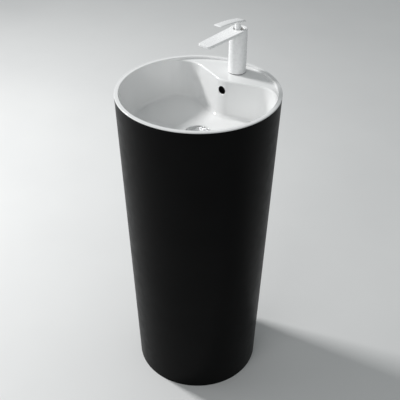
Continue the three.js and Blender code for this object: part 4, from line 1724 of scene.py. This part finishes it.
# ---------------------------------------------------------------- the trap
@dataclass
class BottleTrap:
    """The chromed bottle trap between the waste and the wall."""

    pipe_outer: float = 16.0
    pipe_inner: float = 14.4
    body_radius: float = 31.0
    body_low: float = read(lowest, "trap_body", Axis.Z)
    body_high: float = 556.0
    outlet: float = read(middle, "trap_outlet_pipe", Axis.Z)
    cup_low: float = read(lowest, "trap_cup", Axis.Z)
    outlet_end: float = read(highest, "trap_outlet_pipe", Axis.Y)

    def inlet_nut(self) -> Solid:
        """The nut that holds the trap's pipe to the waste: a round skirt over a hexagon.

        Returns:
            The nut.
        """
        skirt = Solid.lathe(rod_profile(26.0, 640.0, 674.0, 1.0), 128)
        nut = skirt.combined(Solid.hexagon(28.5, 640.0, 656.0, 0.5), operation="UNION")
        return nut.combined(
            Solid.lathe(rod_profile(21.3, 647.4, 680.0, 0.0)), Solid.lathe(rod_profile(16.3, 630.0, 650.0, 0.0)))

    def lugged(self, shop: Workshop, radius: float, low: float, high: float) -> Solid:
        """A round nut with eight grip lugs and no bore yet.

        Args:
            shop: makes the lugs.
            radius: radius of the round part.
            low: height of the lower face.
            high: height of the upper face.

        Returns:
            The nut.
        """
        core = Solid.lathe(rod_profile(radius, low, high, 1.2), 128)
        bars = shop.grips(radius + 0.6, 8, (3.6, 6.0, high - low - 2.4), low + 0.3, CHROME)
        return core.combined(bars, operation="UNION")

    def body(self) -> Solid:
        """The trap's upper drum with its neck and side outlet.

        Returns:
            The drum, hollow and open below.
        """
        low, high, radius = self.body_low, self.body_high, self.body_radius
        drum = Solid.lathe([(0.0, low, 0.0), (radius, low, 0.6), (radius, high - 6.0, 3.0), (radius - 7.0, high, 2.0),
                            (0.0, high, 0.0)], 128)
        neck = Solid.lathe(rod_profile(22.0, high - 2.0, high + 12.0, 0.6))
        stub = Solid.lathe(rod_profile(20.0, 23.0, 55.5, 0.6)).along_y(self.outlet)
        hollow = Solid.lathe(rod_profile(27.0, low - 1.0, high - 8.0, 0.0))
        throat = Solid.lathe(rod_profile(self.pipe_outer + 0.3, high - 20.0, high + 20.0, 0.0))
        bore = Solid.lathe(rod_profile(14.0, 10.0, 70.0, 0.0)).along_y(self.outlet)
        return drum.combined(neck, stub, operation="UNION").combined(hollow, throat, bore)

    def cup(self, shop: Workshop) -> Solid:
        """The cup that unscrews for cleaning, with a grip band below.

        Args:
            shop: the workshop, which makes the grips.

        Returns:
            The cup.
        """
        low, radius = self.cup_low, self.body_radius
        shell = Solid.lathe([
            (0.0, low, 0.0), (radius - 12.0, low, 4.0), (radius - 3.0, low + 5.0, 5.0), (radius, low + 14.0, 5.0),
            (radius, 496.8, 0.6), (26.6, 496.8, 0.3), (26.6, 514.0, 0.4), (24.0, 514.0, 0.4), (24.0, low + 16.0, 4.0),
            (radius - 14.0, low + 4.0, 4.0), (0.0, low + 4.0, 0.0)], 128)
        ridges = shop.grips(radius - 0.45, 36, (0.8, 1.8, 22.0), low + 20.0, CHROME)
        return shell.with_(ridges)

    def build(self, shop: Workshop) -> None:
        """Makes and dresses the trap.

        Args:
            shop: where pieces are placed.
        """
        shop.place(self.inlet_nut(), "trap_inlet_nut", CHROME)
        shop.place(Solid.lathe(ring_profile(16.5, 20.0, 651.3, 655.7, 0.6)), "trap_inlet_seal", RUBBER)
        inlet = [(self.pipe_inner, 470.0, 0.2), (self.pipe_outer, 470.0, 0.3), (self.pipe_outer, 648.0, 0.5),
                 (19.2, 648.0, 0.3), (19.2, 651.0, 0.4), (self.pipe_inner, 651.0, 0.6)]
        shop.place(Solid.lathe(inlet), "trap_inlet_pipe", CHROME)
        collar = self.lugged(shop, 27.0, 556.5, 577.0).combined(
            Solid.lathe(rod_profile(22.3, 550.0, 568.5, 0.0)), Solid.lathe(rod_profile(16.3, 550.0, 580.0, 0.0)))
        shop.place(collar, "trap_body_nut", CHROME)
        shop.place(self.body(), "trap_body", CHROME)
        shop.place(self.cup(shop), "trap_cup", CHROME)
        shop.place(Solid.lathe(ring_profile(27.0, 30.4, 497.1, 499.7, 0.6)), "trap_cup_seal", RUBBER)
        outlet_nut = self.lugged(shop, 25.5, 44.0, 68.0).combined(
            Solid.lathe(rod_profile(20.3, 40.0, 61.0, 0.0)), Solid.lathe(rod_profile(16.3, 40.0, 80.0, 0.0)))
        shop.place(outlet_nut.along_y(self.outlet), "trap_outlet_nut", CHROME)
        shop.place(Solid.lathe(ring_profile(15.0, 19.2, 55.8, 57.7, 0.4)).along_y(self.outlet),
                   "trap_outlet_seal", RUBBER)
        pipe = [(self.pipe_inner, 58.0, 0.2), (19.4, 58.0, 0.3), (19.4, 60.5, 0.3), (self.pipe_outer, 60.5, 0.4),
                (self.pipe_outer, self.outlet_end, 0.3), (self.pipe_inner, self.outlet_end, 0.3)]
        shop.place(Solid.lathe(pipe).along_y(self.outlet), "trap_outlet_pipe", CHROME)


# ---------------------------------------------------------------- the studio
@dataclass
class AreaLamp:
    """One soft rectangular light, in metres and watts."""

    name: str
    place: RGB
    target: RGB
    size: tuple[float, float]
    power: float
    colour: RGB = (1.0, 1.0, 1.0)

    def hang(self) -> None:
        """Puts the lamp in the scene."""
        lamp = bpy.data.lights.new(self.name, "AREA")
        lamp.shape = "RECTANGLE"
        lamp.size, lamp.size_y = self.size
        lamp.energy = self.power
        lamp.color = self.colour
        holder = bpy.data.objects.new(self.name, lamp)
        holder.location = self.place
        direction = Vector(self.target) - Vector(self.place)
        holder.rotation_euler = direction.to_track_quat("-Z", "Y").to_euler()
        bpy.context.scene.collection.objects.link(holder)


@dataclass
class Studio:
    """A pale floor, soft light and the camera, in metres and degrees."""

    eye: RGB = (1.0236, -1.2183, 1.6626)
    azimuth: float = 40.203
    depression: float = 35.444
    lean: float = -0.111
    lens: float = 66.95
    sensor: float = 36.0
    shift: float = 0.00769
    floor_size: float = 40.0
    sky: RGB = (0.80, 0.84, 0.85)
    sky_strength: float = 0.40
    lamps: tuple[AreaLamp, ...] = (
        AreaLamp("key_lamp", (-2.46, -0.39, 2.53), (0.0, 0.0, 0.80), (0.44, 0.44), 84.0),
        AreaLamp("side_lamp", (-2.6, -2.0, 1.2), (0.0, 0.0, 0.45), (1.6, 2.0), 12.0),
        AreaLamp("front_lamp", (0.4, -2.9, 2.2), (0.0, 0.0, 0.85), (1.8, 1.2), 16.0),
    )

    def camera(self) -> None:
        """Sets the scene's camera."""
        data = bpy.data.cameras.new("view_camera")
        data.lens, data.sensor_width = self.lens, self.sensor
        data.shift_x = self.shift
        data.clip_end = 100.0
        holder = bpy.data.objects.new("view_camera", data)
        holder.location = self.eye
        turn = (90.0 - self.depression, self.lean, self.azimuth)
        holder.rotation_euler = tuple(math.radians(angle) for angle in turn)
        bpy.context.scene.collection.objects.link(holder)
        bpy.context.scene.camera = holder

    def floor(self) -> None:
        """Lays the floor just under the column's base."""
        half, depth = self.floor_size / 2.0, -0.0003
        mesh = bpy.data.meshes.new("studio_floor")
        corners = [(-half, -half, depth), (half, -half, depth), (half, half, depth), (-half, half, depth)]
        mesh.from_pydata(corners, [], [(0, 1, 2, 3)])
        mesh.materials.append(FLOOR.material())
        holder = bpy.data.objects.new("studio_floor", mesh)
        bpy.context.scene.collection.objects.link(holder)

    def air(self) -> None:
        """Sets the light that comes from all round."""
        world = bpy.data.worlds.new("studio_air")
        world.use_nodes = True
        background = world.node_tree.nodes["Background"]
        background.inputs["Color"].default_value = (*self.sky, 1.0)
        background.inputs["Strength"].default_value = self.sky_strength
        bpy.context.scene.world = world
        bpy.context.scene.view_settings.view_transform = "Standard"

    def build(self) -> None:
        """Makes the floor, the light and the camera."""
        self.floor()
        self.air()
        for lamp in self.lamps:
            lamp.hang()
        self.camera()


def main() -> None:
    """Loads the frame and builds each part of the sink around it."""
    logging.basicConfig(level=logging.INFO, format="%(name)s %(message)s")
    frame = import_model()
    shop = Workshop(frame["record"])
    for assembly in (Ware(), FloorFixings(), Mixer(), Waste(), BottleTrap()):
        LOG.info("building %s", type(assembly).__name__)
        assembly.build(shop)
    Studio().build()


if __name__ == "__main__":
    main()
